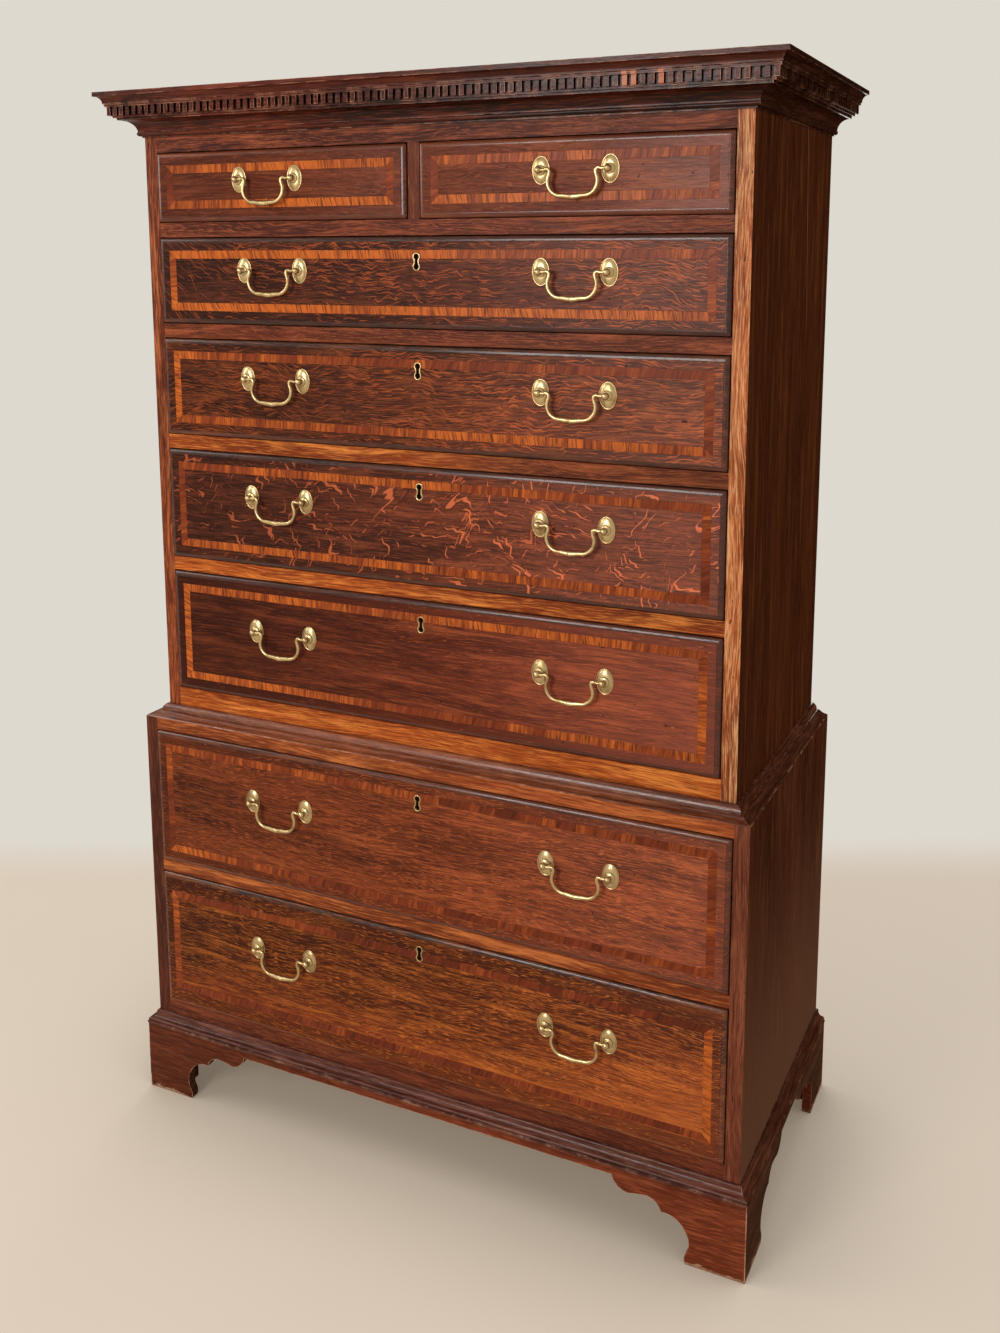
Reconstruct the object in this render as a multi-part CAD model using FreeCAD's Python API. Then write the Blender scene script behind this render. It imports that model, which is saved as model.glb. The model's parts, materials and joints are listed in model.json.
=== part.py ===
"""Oak chest on chest: a case of five rows of drawers on a wider case of two deep rows.

Millimetres. +X is to the right, +Y to the back and +Z up. The chest is drawn with y = 0 at
the front face of the lower case, and written out with its origin in the middle of the base
of its bounding box.
"""
import FreeCAD, Part
import math
import os

Vector = FreeCAD.Vector

# ---- both cases ----
LOWER_WIDTH = 1100.0
CASE_DEPTH = 520.0            # front of the lower case to the back of both cases
UPPER_SETBACK = 30.0          # the upper case is set in by this at each side and at the front
SIDE_THICKNESS = 24.0
RAIL_DEPTH = 40.0             # front to back
HOUSING_DEPTH = 8.0           # rails and boards enter the case sides by this
PANEL_THICKNESS = 18.0        # bottom boards and the upper top board
BACK_THICKNESS = 12.0
BACK_REBATE = 12.0            # width of the rebate in the sides that takes the back boards
BACK_BOARDS = 5
BACK_BOARD_GAP = 1.0
RUNNER_WIDTH = 30.0
BOTTOM_RUNNER_HEIGHT = 18.0   # runner strips that lie on a bottom board

# ---- heights, from the floor up ----
APRON_BOTTOM = 114.0
PLINTH_TOP = 128.0
BASE_MOULDING_HEIGHT = 22.0
LOWER_BOTTOM_RAIL_SHOWS = 26.0
LOWER_RAIL = 22.0
LOWER_TOP_RAIL = 21.0
WAIST_MOULDING_HEIGHT = 19.0
UPPER_BOTTOM_RAIL_SHOWS = 33.5
UPPER_RAIL = 24.0
TOP_RAIL_SHOWS = 25.0
CORNICE_HEIGHT = 71.0
TOP_RECESS = 6.0              # the top board lies this much below the cornice's upper edge
ROW_1_HEIGHT = 115.0
ROW_2_HEIGHT = 143.5
ROW_3_HEIGHT = 166.0
ROW_4_HEIGHT = 192.0
ROW_5_HEIGHT = 215.0
ROW_6_HEIGHT = 245.0
ROW_7_HEIGHT = 255.0

# ---- the upright between the two top drawers ----
MUNTIN_WIDTH = 20.0
MUNTIN_X = -6.0

# ---- plinth and bracket feet ----
PLINTH_THICKNESS = 16.0
FOOT_BLOCK = 45.0
REAR_BRACKET_TOE = 70.0
REAR_BRACKET_TOP = 105.0

# ---- drawers ----
FRONT_THICKNESS = 22.0
FRONT_PROUD = 6.0             # the front stands out from the rails by this
FRONT_EDGE_RADIUS = 5.0
DRAWER_SIDE_GAP = 1.5
DRAWER_TOP_GAP = 1.5
DRAWER_BOTTOM_GAP = 1.0
SLIDE_GAP = 0.3               # drawer sides above their runners
DRAWER_SIDE = 11.0
DRAWER_BACK = 10.0
DRAWER_BOTTOM = 9.0
BOTTOM_GROOVE = 5.0
BOTTOM_LIFT = 7.0             # the bottom board above the lower edge of the drawer sides
SIDE_TOP_DROP = 4.0           # drawer sides below the top edge of the front
BACK_TOP_DROP = 6.0           # drawer back below the drawer sides
DRAWER_END_GAP = 12.0         # closed drawer to the back boards
DOVETAIL_PITCH = 45.0
DOVETAIL_LAP = 14.0
DOVETAIL_SLOPE = 1.0 / 6.0

# ---- crossbanding let into the drawer fronts ----
BANDING_WIDTH = 13.5
BANDING_DEPTH = 1.5
BANDING_MARGIN = 22.0         # edge of the drawer opening to the banding
DEEP_BANDING_MARGIN = 32.0    # the same above and below the banding of the bottom drawer

# ---- swan-neck handles ----
POST_SPAN = 107.0
PIVOT_REACH = 12.0            # drawer face to the bail's pivot
BALL_RADIUS = 5.5
COLLAR_RADIUS = 8.0
COLLAR_THICKNESS = 2.6
NECK_RADIUS = 3.5
SHANK_RADIUS = 2.5
SHANK_STANDOUT = 6.0          # shank behind the drawer front
NUT_WIDTH = 11.0
NUT_THICKNESS = 4.0
ROSE_WIDTH = 28.0
ROSE_HEIGHT = 41.0
ROSE_RIM = 1.2
ROSE_RIM_STEP = 1.8           # the dome starts this far inside the rim
ROSE_DOME = 2.6
ROSE_CROWN_WIDTH = 13.5
ROSE_CROWN_HEIGHT = 20.0
BAIL_RADIUS = 2.1
BAIL_RUNNING_GAP = 0.05       # radial, in the ball's bore
BAIL_PIN_OVERRUN = 4.0        # the bail's end beyond the ball's centre
BAIL_NECK_INSET = 16.0        # post to the bail's neck
BAIL_RISE_RADIUS = 4.0        # the bail rises from the post on this bend
BAIL_ARCH_RADIUS = 4.5        # and turns down on this one
BAIL_ARCH_TURN = 45.0         # degrees that it rises by
BAIL_BEND_RADIUS = 16.0       # the lower bends of the swan neck
BAIL_FLARE = 25.0             # degrees that the neck leans outwards
GRIP_DROP = 36.0              # pivot to the middle of the grip
GRIP_RADIUS = 4.0
UPPER_HANDLE_LEFT = -267.0
UPPER_HANDLE_RIGHT = 262.0
LOWER_HANDLE_LEFT = -264.0
LOWER_HANDLE_RIGHT = 286.0
ROW_1_HANDLE_LEFT = -272.0
ROW_1_HANDLE_RISE = 66.5      # bottom of the drawer opening to the posts
ROW_2_HANDLE_RISE = 89.0
ROW_3_HANDLE_RISE = 102.0
ROW_4_HANDLE_RISE = 119.0
ROW_5_HANDLE_RISE = 125.5
ROW_6_HANDLE_RISE = 149.5
ROW_7_HANDLE_RISE = 154.5

# ---- locks ----
UPPER_KEYHOLE_X = 0.0
LOWER_KEYHOLE_X = 6.0
KEYHOLE_DROP = 40.0           # top of the drawer opening to the middle of the keyhole
ROW_7_KEYHOLE_DROP = 35.0
KEYHOLE_LOBE_SPACING = 15.0
ESCUTCHEON_LOBE_RADIUS = 6.5
ESCUTCHEON_WAIST = 9.0
ESCUTCHEON_RIM = 2.0
ESCUTCHEON_DEPTH = 4.0
LOCK_WIDTH = 56.0
LOCK_HEIGHT = 52.0
LOCK_DEPTH = 12.0
BOLT_WIDTH = 22.0
BOLT_THICKNESS = 6.0
BOLT_LENGTH = 23.0
BOLT_GAP = 0.3
BOLT_THROW = 7.0
MORTISE_GAP = 1.0             # round the thrown bolt and above it

# ---- dentils ----
DENTIL_SEAT = 36.0            # projection of the cornice's face behind the dentils
DENTIL_BOTTOM = 34.0          # above the cornice's lower edge
DENTIL_HEIGHT = 14.0
DENTIL_WIDTH = 7.4
DENTIL_BACKING = 1.5
DENTIL_DEPTH = 6.0
DENTIL_PITCH = 13.15

# ---- mouldings: (projection, rise) outlines; a pair of points is an arc through the first ----
CORNICE_FILLET = 7.0          # the flat band along the cornice's upper edge
PLINTH_LEDGE = 1.0            # the base moulding's lower edge beyond the plinth
CORNICE_PROFILE = [
    [(0, 0)],
    [(3, 0)],
    [(3, 3)],
    [(9, 5), (8, 9)],
    [(8, 11)],
    [(13, 21), (27, 27.5)],
    [(31, 27.5)],
    [(31, 31)],
    [(DENTIL_SEAT, 31)],
    [(DENTIL_SEAT, DENTIL_BOTTOM + DENTIL_HEIGHT)],
    [(45, DENTIL_BOTTOM + DENTIL_HEIGHT)],
    [(45, 52)],
    [(47, 53)],
    [(49, 60), (54, CORNICE_HEIGHT - CORNICE_FILLET)],
    [(58, CORNICE_HEIGHT - CORNICE_FILLET)],
    [(58, CORNICE_HEIGHT)],
    [(0, CORNICE_HEIGHT)],
]
WAIST_PROFILE = [
    [(0, 0)],
    [(UPPER_SETBACK, 0)],
    [(28.5, 1.6)],
    [(22, 3), (16, 7)],
    [(13, 8)],
    [(10.5, 8)],
    [(9, 14), (3.5, WAIST_MOULDING_HEIGHT)],
    [(0, WAIST_MOULDING_HEIGHT)],
]
BASE_PROFILE = [
    [(0, 0)],
    [(PLINTH_THICKNESS + PLINTH_LEDGE, 0)],
    [(PLINTH_THICKNESS + PLINTH_LEDGE, 3)],
    [(14.5, 4)],
    [(15.6, 6.5), (13, 9)],
    [(7.5, 11), (5, 15)],
    [(4.5, 18)],
    [(4, 20.8), (2, BASE_MOULDING_HEIGHT)],
    [(0, BASE_MOULDING_HEIGHT)],
]
# bracket foot: (distance from the outer corner, height), from the toe up to the apron
FOOT_OUTLINE = [
    [(94, 0)],
    [(96, 10), (93, 19)],
    [(89, 35), (95, 56)],
    [(109, 71), (134, 76)],
    [(142, 89), (159, 95.5)],
    [(176, 93), (188, 90)],
    [(207, 98.5), (216, APRON_BOTTOM)],
]

# ---- levels and places worked out from the sizes above ----
ROW_7_FLOOR = PLINTH_TOP + BASE_MOULDING_HEIGHT + LOWER_BOTTOM_RAIL_SHOWS
ROW_6_FLOOR = ROW_7_FLOOR + ROW_7_HEIGHT + LOWER_RAIL
LOWER_TOP = ROW_6_FLOOR + ROW_6_HEIGHT + LOWER_TOP_RAIL
ROW_5_FLOOR = LOWER_TOP + WAIST_MOULDING_HEIGHT + UPPER_BOTTOM_RAIL_SHOWS
ROW_4_FLOOR = ROW_5_FLOOR + ROW_5_HEIGHT + UPPER_RAIL
ROW_3_FLOOR = ROW_4_FLOOR + ROW_4_HEIGHT + UPPER_RAIL
ROW_2_FLOOR = ROW_3_FLOOR + ROW_3_HEIGHT + UPPER_RAIL
ROW_1_FLOOR = ROW_2_FLOOR + ROW_2_HEIGHT + UPPER_RAIL
ROW_1_CEILING = ROW_1_FLOOR + ROW_1_HEIGHT
CORNICE_BOTTOM = ROW_1_CEILING + TOP_RAIL_SHOWS
UPPER_TOP = CORNICE_BOTTOM + CORNICE_HEIGHT - TOP_RECESS
LOWER_HALF = LOWER_WIDTH / 2
UPPER_HALF = LOWER_HALF - UPPER_SETBACK
LOWER_INSIDE = LOWER_HALF - SIDE_THICKNESS
UPPER_INSIDE = UPPER_HALF - SIDE_THICKNESS
MUNTIN_LEFT = MUNTIN_X - MUNTIN_WIDTH / 2
MUNTIN_RIGHT = MUNTIN_X + MUNTIN_WIDTH / 2
BACK_FACE = CASE_DEPTH - BACK_THICKNESS
CORNICE_REACH = max(step[-1][0] for step in CORNICE_PROFILE)
HANDLE_REACH = FRONT_PROUD + PIVOT_REACH + BALL_RADIUS
FRONT_MOST = max(HANDLE_REACH, CORNICE_REACH - UPPER_SETBACK)
ORIGIN_Y = (CASE_DEPTH - FRONT_MOST) / 2


def save(name, shapes):
    """Write one node, moved so that the origin is in the middle of the base."""
    node = Part.makeCompound([solid for shape in shapes for solid in shape.Solids])
    node.translate(Vector(0, -ORIGIN_Y, 0))
    node.exportStep("parts/" + name + ".step")


def box(x0, x1, y0, y1, z0, z1):
    return Part.makeBox(x1 - x0, y1 - y0, z1 - z0, Vector(x0, y0, z0))


def rod(x, y0, y1, z, radius):
    """A round bar along Y."""
    return Part.makeCylinder(radius, y1 - y0, Vector(x, y0, z), Vector(0, 1, 0))


def prism(corners, direction):
    """A straight-sided outline pushed along a direction."""
    return Part.Face(Part.makePolygon(corners + corners[:1])).extrude(direction)


def outline_face(steps, place):
    """A face inside straight steps, [end], and arcs, [through, end]; place makes the points."""
    edges = []
    here = steps[-1][-1]
    for step in steps:
        points = [place(*point) for point in [here] + step]
        if len(points) == 2:
            edges.append(Part.makeLine(*points))
        else:
            edges.append(Part.Arc(*points).toShape())
        here = step[-1]
    return Part.Face(Part.Wire(edges))


def mirrored(shape):
    return shape.mirror(Vector(0, 0, 0), Vector(1, 0, 0))


# ---- mouldings ----
def mitre_fields(half, front, reach, bottom, top):
    """What a front length and a right return may fill, so that they meet at 45 degrees."""
    corner = Vector(half, front, bottom)
    tip = Vector(half + reach, front - reach, bottom)
    rise = Vector(0, 0, top - bottom)
    ahead = prism([Vector(-half, front, bottom), corner, tip,
                   Vector(-half - reach, front - reach, bottom)], rise)
    aside = prism([corner, tip, Vector(half + reach, CASE_DEPTH, bottom),
                   Vector(half, CASE_DEPTH, bottom)], rise)
    return ahead, aside


def moulding(profile, half, front, bottom):
    """A moulding round the front and both sides of a case: front, right and left lengths."""
    reach = max(step[-1][0] for step in profile)
    top = bottom + max(step[-1][1] for step in profile)
    ahead, aside = mitre_fields(half, front, reach + 1, bottom, top)
    across = outline_face(profile, lambda out, up: Vector(-half - reach, front - out, bottom + up))
    across = across.extrude(Vector(2 * (half + reach), 0, 0)).common(ahead)
    along = outline_face(profile, lambda out, up: Vector(half + out, front - reach, bottom + up))
    along = along.extrude(Vector(0, CASE_DEPTH - front + reach, 0)).common(aside)
    return [across, along, mirrored(along)]


def dentil_strip(length, place):
    """A strip cut into dentils; place turns a distance along and a distance out into a point."""
    pitches = round((length - DENTIL_WIDTH) / DENTIL_PITCH)
    pitch = (length - DENTIL_WIDTH) / pitches
    corners = [place(length, 0), place(0, 0)]
    for tooth in range(pitches + 1):
        start = tooth * pitch
        end = start + DENTIL_WIDTH
        corners += [place(start, DENTIL_DEPTH), place(end, DENTIL_DEPTH)]
        if tooth < pitches:
            corners += [place(end, DENTIL_BACKING), place(start + pitch, DENTIL_BACKING)]
    return prism(corners, Vector(0, 0, DENTIL_HEIGHT))


def cornice():
    seat = UPPER_HALF + DENTIL_SEAT
    front = UPPER_SETBACK - DENTIL_SEAT
    bottom = CORNICE_BOTTOM + DENTIL_BOTTOM
    end = seat + DENTIL_DEPTH
    across = dentil_strip(2 * end, lambda along, out: Vector(along - end, front - out, bottom))
    right = dentil_strip(CASE_DEPTH - front,
                         lambda along, out: Vector(seat + out, front + along, bottom))
    lengths = moulding(CORNICE_PROFILE, UPPER_HALF, UPPER_SETBACK, CORNICE_BOTTOM)
    return lengths + [across, right, mirrored(right)]


# ---- plinth and bracket feet ----
def arch_outline(length):
    """The opening under a plinth board of this length, between the feet at its two ends."""
    turned = [[(length - along, up) for along, up in step] for step in FOOT_OUTLINE]
    back = [[turned[-1][-1]]]
    for step, before in zip(turned[:0:-1], turned[-2::-1]):
        back.append(step[:-1] + before[-1:])
    return FOOT_OUTLINE + back


def bracket_feet():
    """Plinth boards cut to bracket feet, rear brackets, and a glue block in each foot."""
    ahead, aside = mitre_fields(LOWER_HALF, 0, PLINTH_THICKNESS, 0, PLINTH_TOP)
    corner = LOWER_HALF + PLINTH_THICKNESS
    under_front = outline_face(arch_outline(2 * corner),
                               lambda along, up: Vector(along - corner, -PLINTH_THICKNESS, up))
    front = ahead.cut(under_front.extrude(Vector(0, PLINTH_THICKNESS, 0)))
    under_side = outline_face(arch_outline(CASE_DEPTH + PLINTH_THICKNESS),
                              lambda along, up: Vector(LOWER_HALF, along - PLINTH_THICKNESS, up))
    side = aside.cut(under_side.extrude(Vector(PLINTH_THICKNESS, 0, 0)))
    bracket_y = CASE_DEPTH - PLINTH_THICKNESS
    toe = LOWER_HALF - REAR_BRACKET_TOE
    tip = LOWER_HALF - REAR_BRACKET_TOP
    bracket = prism([Vector(LOWER_HALF, bracket_y, 0), Vector(toe, bracket_y, 0),
                     Vector(tip, bracket_y, APRON_BOTTOM),
                     Vector(LOWER_HALF, bracket_y, APRON_BOTTOM)],
                    Vector(0, PLINTH_THICKNESS, 0))
    inner = LOWER_HALF - FOOT_BLOCK
    front_block = box(inner, LOWER_HALF, 0, FOOT_BLOCK, 0, APRON_BOTTOM)
    rear_block = box(inner, LOWER_HALF, bracket_y - FOOT_BLOCK, bracket_y, 0, APRON_BOTTOM)
    right = [side, bracket, front_block, rear_block]
    return [front] + right + [mirrored(piece) for piece in right]


# ---- cases ----
def rail(inside, front, bottom, top):
    """A rail across a case, with its ends housed in the sides."""
    reach = inside + HOUSING_DEPTH
    return box(-reach, reach, front, front + RAIL_DEPTH, bottom, top)


def board(inside, front, bottom, top):
    """A top or bottom board, behind the rails and in front of the back boards."""
    reach = inside + HOUSING_DEPTH
    return box(-reach, reach, front + RAIL_DEPTH, BACK_FACE, bottom, top)


def right_side(half, front, bottom, top, housed):
    """A case side, rebated for the back boards and housed for what it carries."""
    inner = half - SIDE_THICKNESS
    side = box(inner, half, front, CASE_DEPTH, bottom, top)
    rebate = box(inner, inner + BACK_REBATE, BACK_FACE, CASE_DEPTH, bottom, top)
    return side.cut(Part.makeCompound([rebate] + housed))


def back_boards(half, bottom, top):
    """Upright back boards, side by side in the rebates of the case sides."""
    reach = half - SIDE_THICKNESS + BACK_REBATE
    pitch = 2 * reach / BACK_BOARDS
    boards = []
    for place in range(BACK_BOARDS):
        left = -reach + place * pitch
        boards.append(box(left, left + pitch - BACK_BOARD_GAP, BACK_FACE, CASE_DEPTH, bottom, top))
    return boards


def side_runners(inside, front, bottom, top):
    """A pair of runners on the case sides, from the rail to the back boards."""
    right = box(inside - RUNNER_WIDTH, inside, front + RAIL_DEPTH, BACK_FACE, bottom, top)
    return [right, mirrored(right)]


def save_lower_case(drawers):
    bottom_board = ROW_7_FLOOR - BOTTOM_RUNNER_HEIGHT
    boards = [
        board(LOWER_INSIDE, 0, bottom_board - PANEL_THICKNESS, bottom_board),
        board(LOWER_INSIDE, 0, LOWER_TOP - LOWER_TOP_RAIL, LOWER_TOP),
    ]
    rails = [
        rail(LOWER_INSIDE, 0, APRON_BOTTOM, ROW_7_FLOOR),
        rail(LOWER_INSIDE, 0, ROW_6_FLOOR - LOWER_RAIL, ROW_6_FLOOR),
        rail(LOWER_INSIDE, 0, LOWER_TOP - LOWER_TOP_RAIL, LOWER_TOP),
    ]
    side = right_side(LOWER_HALF, 0, APRON_BOTTOM, LOWER_TOP, boards + rails)
    mortises = Part.makeCompound([drawer.mortise() for drawer in drawers if drawer.keyhole])
    runners = side_runners(LOWER_INSIDE, 0, bottom_board, ROW_7_FLOOR)
    runners += side_runners(LOWER_INSIDE, 0, ROW_6_FLOOR - LOWER_RAIL, ROW_6_FLOOR)
    save("lower_right_side", [side])
    save("lower_left_side", [mirrored(side)])
    save("lower_boards", boards)
    save("lower_rails", [piece.cut(mortises) for piece in rails])
    save("lower_runners", runners)
    save("lower_back_boards", back_boards(LOWER_HALF, APRON_BOTTOM, LOWER_TOP))
    save("bracket_feet", bracket_feet())
    save("base_moulding", moulding(BASE_PROFILE, LOWER_HALF, 0, PLINTH_TOP))
    save("waist_moulding", moulding(WAIST_PROFILE, UPPER_HALF, UPPER_SETBACK, LOWER_TOP))


def save_upper_case(drawers):
    front = UPPER_SETBACK
    behind = front + RAIL_DEPTH
    bottom_board = ROW_5_FLOOR - BOTTOM_RUNNER_HEIGHT
    top_board = UPPER_TOP - PANEL_THICKNESS
    rail_tops = [ROW_4_FLOOR, ROW_3_FLOOR, ROW_2_FLOOR, ROW_1_FLOOR]
    boards = [
        board(UPPER_INSIDE, front, bottom_board - PANEL_THICKNESS, bottom_board),
        board(UPPER_INSIDE, front, top_board, UPPER_TOP),
    ]
    rails = [rail(UPPER_INSIDE, front, top - UPPER_RAIL, top) for top in rail_tops]
    rails.append(rail(UPPER_INSIDE, front, LOWER_TOP, ROW_5_FLOOR))
    rails.append(rail(UPPER_INSIDE, front, ROW_1_CEILING, UPPER_TOP))
    side = right_side(UPPER_HALF, front, LOWER_TOP, UPPER_TOP, boards + rails)
    mortises = Part.makeCompound([drawer.mortise() for drawer in drawers if drawer.keyhole])
    muntin = box(MUNTIN_LEFT, MUNTIN_RIGHT, front, behind, ROW_1_FLOOR, ROW_1_CEILING)
    runners = side_runners(UPPER_INSIDE, front, bottom_board, ROW_5_FLOOR)
    for top in rail_tops:
        runners += side_runners(UPPER_INSIDE, front, top - UPPER_RAIL, top)
    runners += side_runners(UPPER_INSIDE, front, ROW_1_CEILING, top_board)
    runners += [
        box(MUNTIN_LEFT - RUNNER_WIDTH, MUNTIN_RIGHT + RUNNER_WIDTH, behind, BACK_FACE,
            ROW_1_FLOOR - UPPER_RAIL, ROW_1_FLOOR),
        box(MUNTIN_LEFT, MUNTIN_RIGHT, behind, BACK_FACE, ROW_1_FLOOR, ROW_1_CEILING),
        box(MUNTIN_LEFT - RUNNER_WIDTH, MUNTIN_RIGHT + RUNNER_WIDTH, behind, BACK_FACE,
            ROW_1_CEILING, top_board),
    ]
    save("upper_right_side", [side])
    save("upper_left_side", [mirrored(side)])
    save("upper_boards", boards)
    save("upper_rails", [piece.cut(mortises) for piece in rails] + [muntin])
    save("upper_runners", runners)
    save("upper_back_boards", back_boards(UPPER_HALF, LOWER_TOP, UPPER_TOP))
    save("cornice", cornice())


# ---- handles, drawn about the middle of the pivot line and then moved to their drawer ----
def path(x, z, heading, moves):
    """Edges in the XZ plane; a move is a length, or a (radius, left turn in degrees) pair."""
    edges = []
    heading = math.radians(heading)
    for move in moves:
        start = Vector(x, 0, z)
        if isinstance(move, tuple):
            turn = math.radians(move[1])
            radius = math.copysign(move[0], turn)
            centre = start + Vector(-math.sin(heading), 0, math.cos(heading)) * radius
            points = []
            for angle in (heading + turn / 2, heading + turn):
                points.append(centre + Vector(math.sin(angle), 0, -math.cos(angle)) * radius)
            edges.append(Part.Arc(start, *points).toShape())
            heading += turn
            end = points[-1]
        else:
            end = start + Vector(math.cos(heading), 0, math.sin(heading)) * move
            edges.append(Part.makeLine(start, end))
        x = end.x
        z = end.z
    return edges, end


def swan_neck_bail():
    """Bent wire that hangs from both posts, with a grip that swells towards its middle."""
    arch = math.radians(BAIL_ARCH_TURN)
    flare = math.radians(BAIL_FLARE)
    arch_width = (BAIL_RISE_RADIUS * math.sin(arch) + BAIL_ARCH_RADIUS * (1 + math.sin(arch)))
    arch_fall = BAIL_ARCH_RADIUS * math.cos(arch) - BAIL_RISE_RADIUS * (1 - math.cos(arch))
    bends_fall = BAIL_BEND_RADIUS * (1 + 2 * math.sin(flare))
    edges, end = path(POST_SPAN / 2 + BAIL_PIN_OVERRUN, 0, 180, [
        BAIL_PIN_OVERRUN + BAIL_NECK_INSET - arch_width,
        (BAIL_RISE_RADIUS, -BAIL_ARCH_TURN),
        (BAIL_ARCH_RADIUS, BAIL_ARCH_TURN + 90),
        GRIP_DROP - arch_fall - bends_fall,
        (BAIL_BEND_RADIUS, BAIL_FLARE),
        (BAIL_BEND_RADIUS, -BAIL_FLARE - 90),
    ])
    start = edges[0].Vertexes[0].Point
    section = Part.Wire(Part.makeCircle(BAIL_RADIUS, start, Vector(-1, 0, 0)))
    neck = Part.Wire(edges).makePipeShell([section], True, True)
    swell = Part.Arc(Vector(-end.x, 0, BAIL_RADIUS), Vector(0, 0, GRIP_RADIUS),
                     Vector(end.x, 0, BAIL_RADIUS)).toShape()
    half_section = Part.Face(Part.Wire([
        swell,
        Part.makeLine(Vector(end.x, 0, BAIL_RADIUS), Vector(end.x, 0, 0)),
        Part.makeLine(Vector(end.x, 0, 0), Vector(-end.x, 0, 0)),
        Part.makeLine(Vector(-end.x, 0, 0), Vector(-end.x, 0, BAIL_RADIUS)),
    ]))
    grip = half_section.revolve(Vector(0, 0, 0), Vector(1, 0, 0), 360)
    grip.translate(Vector(0, 0, end.z))
    return grip.fuse([neck, mirrored(neck)])


def oval(width, height, y):
    """An upright oval outline in the plane of the drawer fronts."""
    return Part.Wire(Part.Ellipse(Vector(0, y, height / 2), Vector(width / 2, y, 0),
                                  Vector(0, y, 0)).toShape())


def rose():
    """Oval plate behind a post: a flat rim and a dome. The drawer face is at y = 0."""
    rim = Part.Face(oval(ROSE_WIDTH, ROSE_HEIGHT, -ROSE_RIM)).extrude(Vector(0, ROSE_RIM, 0))
    foot = oval(ROSE_WIDTH - 2 * ROSE_RIM_STEP, ROSE_HEIGHT - 2 * ROSE_RIM_STEP, -ROSE_RIM)
    crown = oval(ROSE_CROWN_WIDTH, ROSE_CROWN_HEIGHT, -ROSE_RIM - ROSE_DOME)
    dome = Part.makeLoft([foot, crown], True, True)
    shank = rod(0, -PIVOT_REACH, 1, 0, SHANK_RADIUS)
    return rim.fuse(dome).cut(shank)


def post():
    """Turned post: ball, neck and collar outside, and a shank through the drawer front."""
    collar_back = -ROSE_RIM - ROSE_DOME
    collar_front = collar_back - COLLAR_THICKNESS
    shank = rod(0, collar_back, FRONT_THICKNESS + SHANK_STANDOUT, 0, SHANK_RADIUS)
    collar = rod(0, collar_front, collar_back, 0, COLLAR_RADIUS)
    neck = rod(0, -PIVOT_REACH, collar_front, 0, NECK_RADIUS)
    ball = Part.makeSphere(BALL_RADIUS, Vector(0, -PIVOT_REACH, 0))
    bore = Part.makeCylinder(BAIL_RADIUS + BAIL_RUNNING_GAP, 4 * BALL_RADIUS,
                             Vector(-2 * BALL_RADIUS, -PIVOT_REACH, 0), Vector(1, 0, 0))
    return shank.fuse([collar, neck, ball]).cut(bore)


def nut():
    half = NUT_WIDTH / 2
    block = box(-half, half, FRONT_THICKNESS, FRONT_THICKNESS + NUT_THICKNESS, -half, half)
    return block.cut(rod(0, FRONT_THICKNESS, FRONT_THICKNESS + NUT_THICKNESS, 0, SHANK_RADIUS))


BAIL = swan_neck_bail()
ROSE = rose()
POST = post()
NUT = nut()


def moved(shape, x, y, z):
    return shape.translated(Vector(x, y, z))


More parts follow.
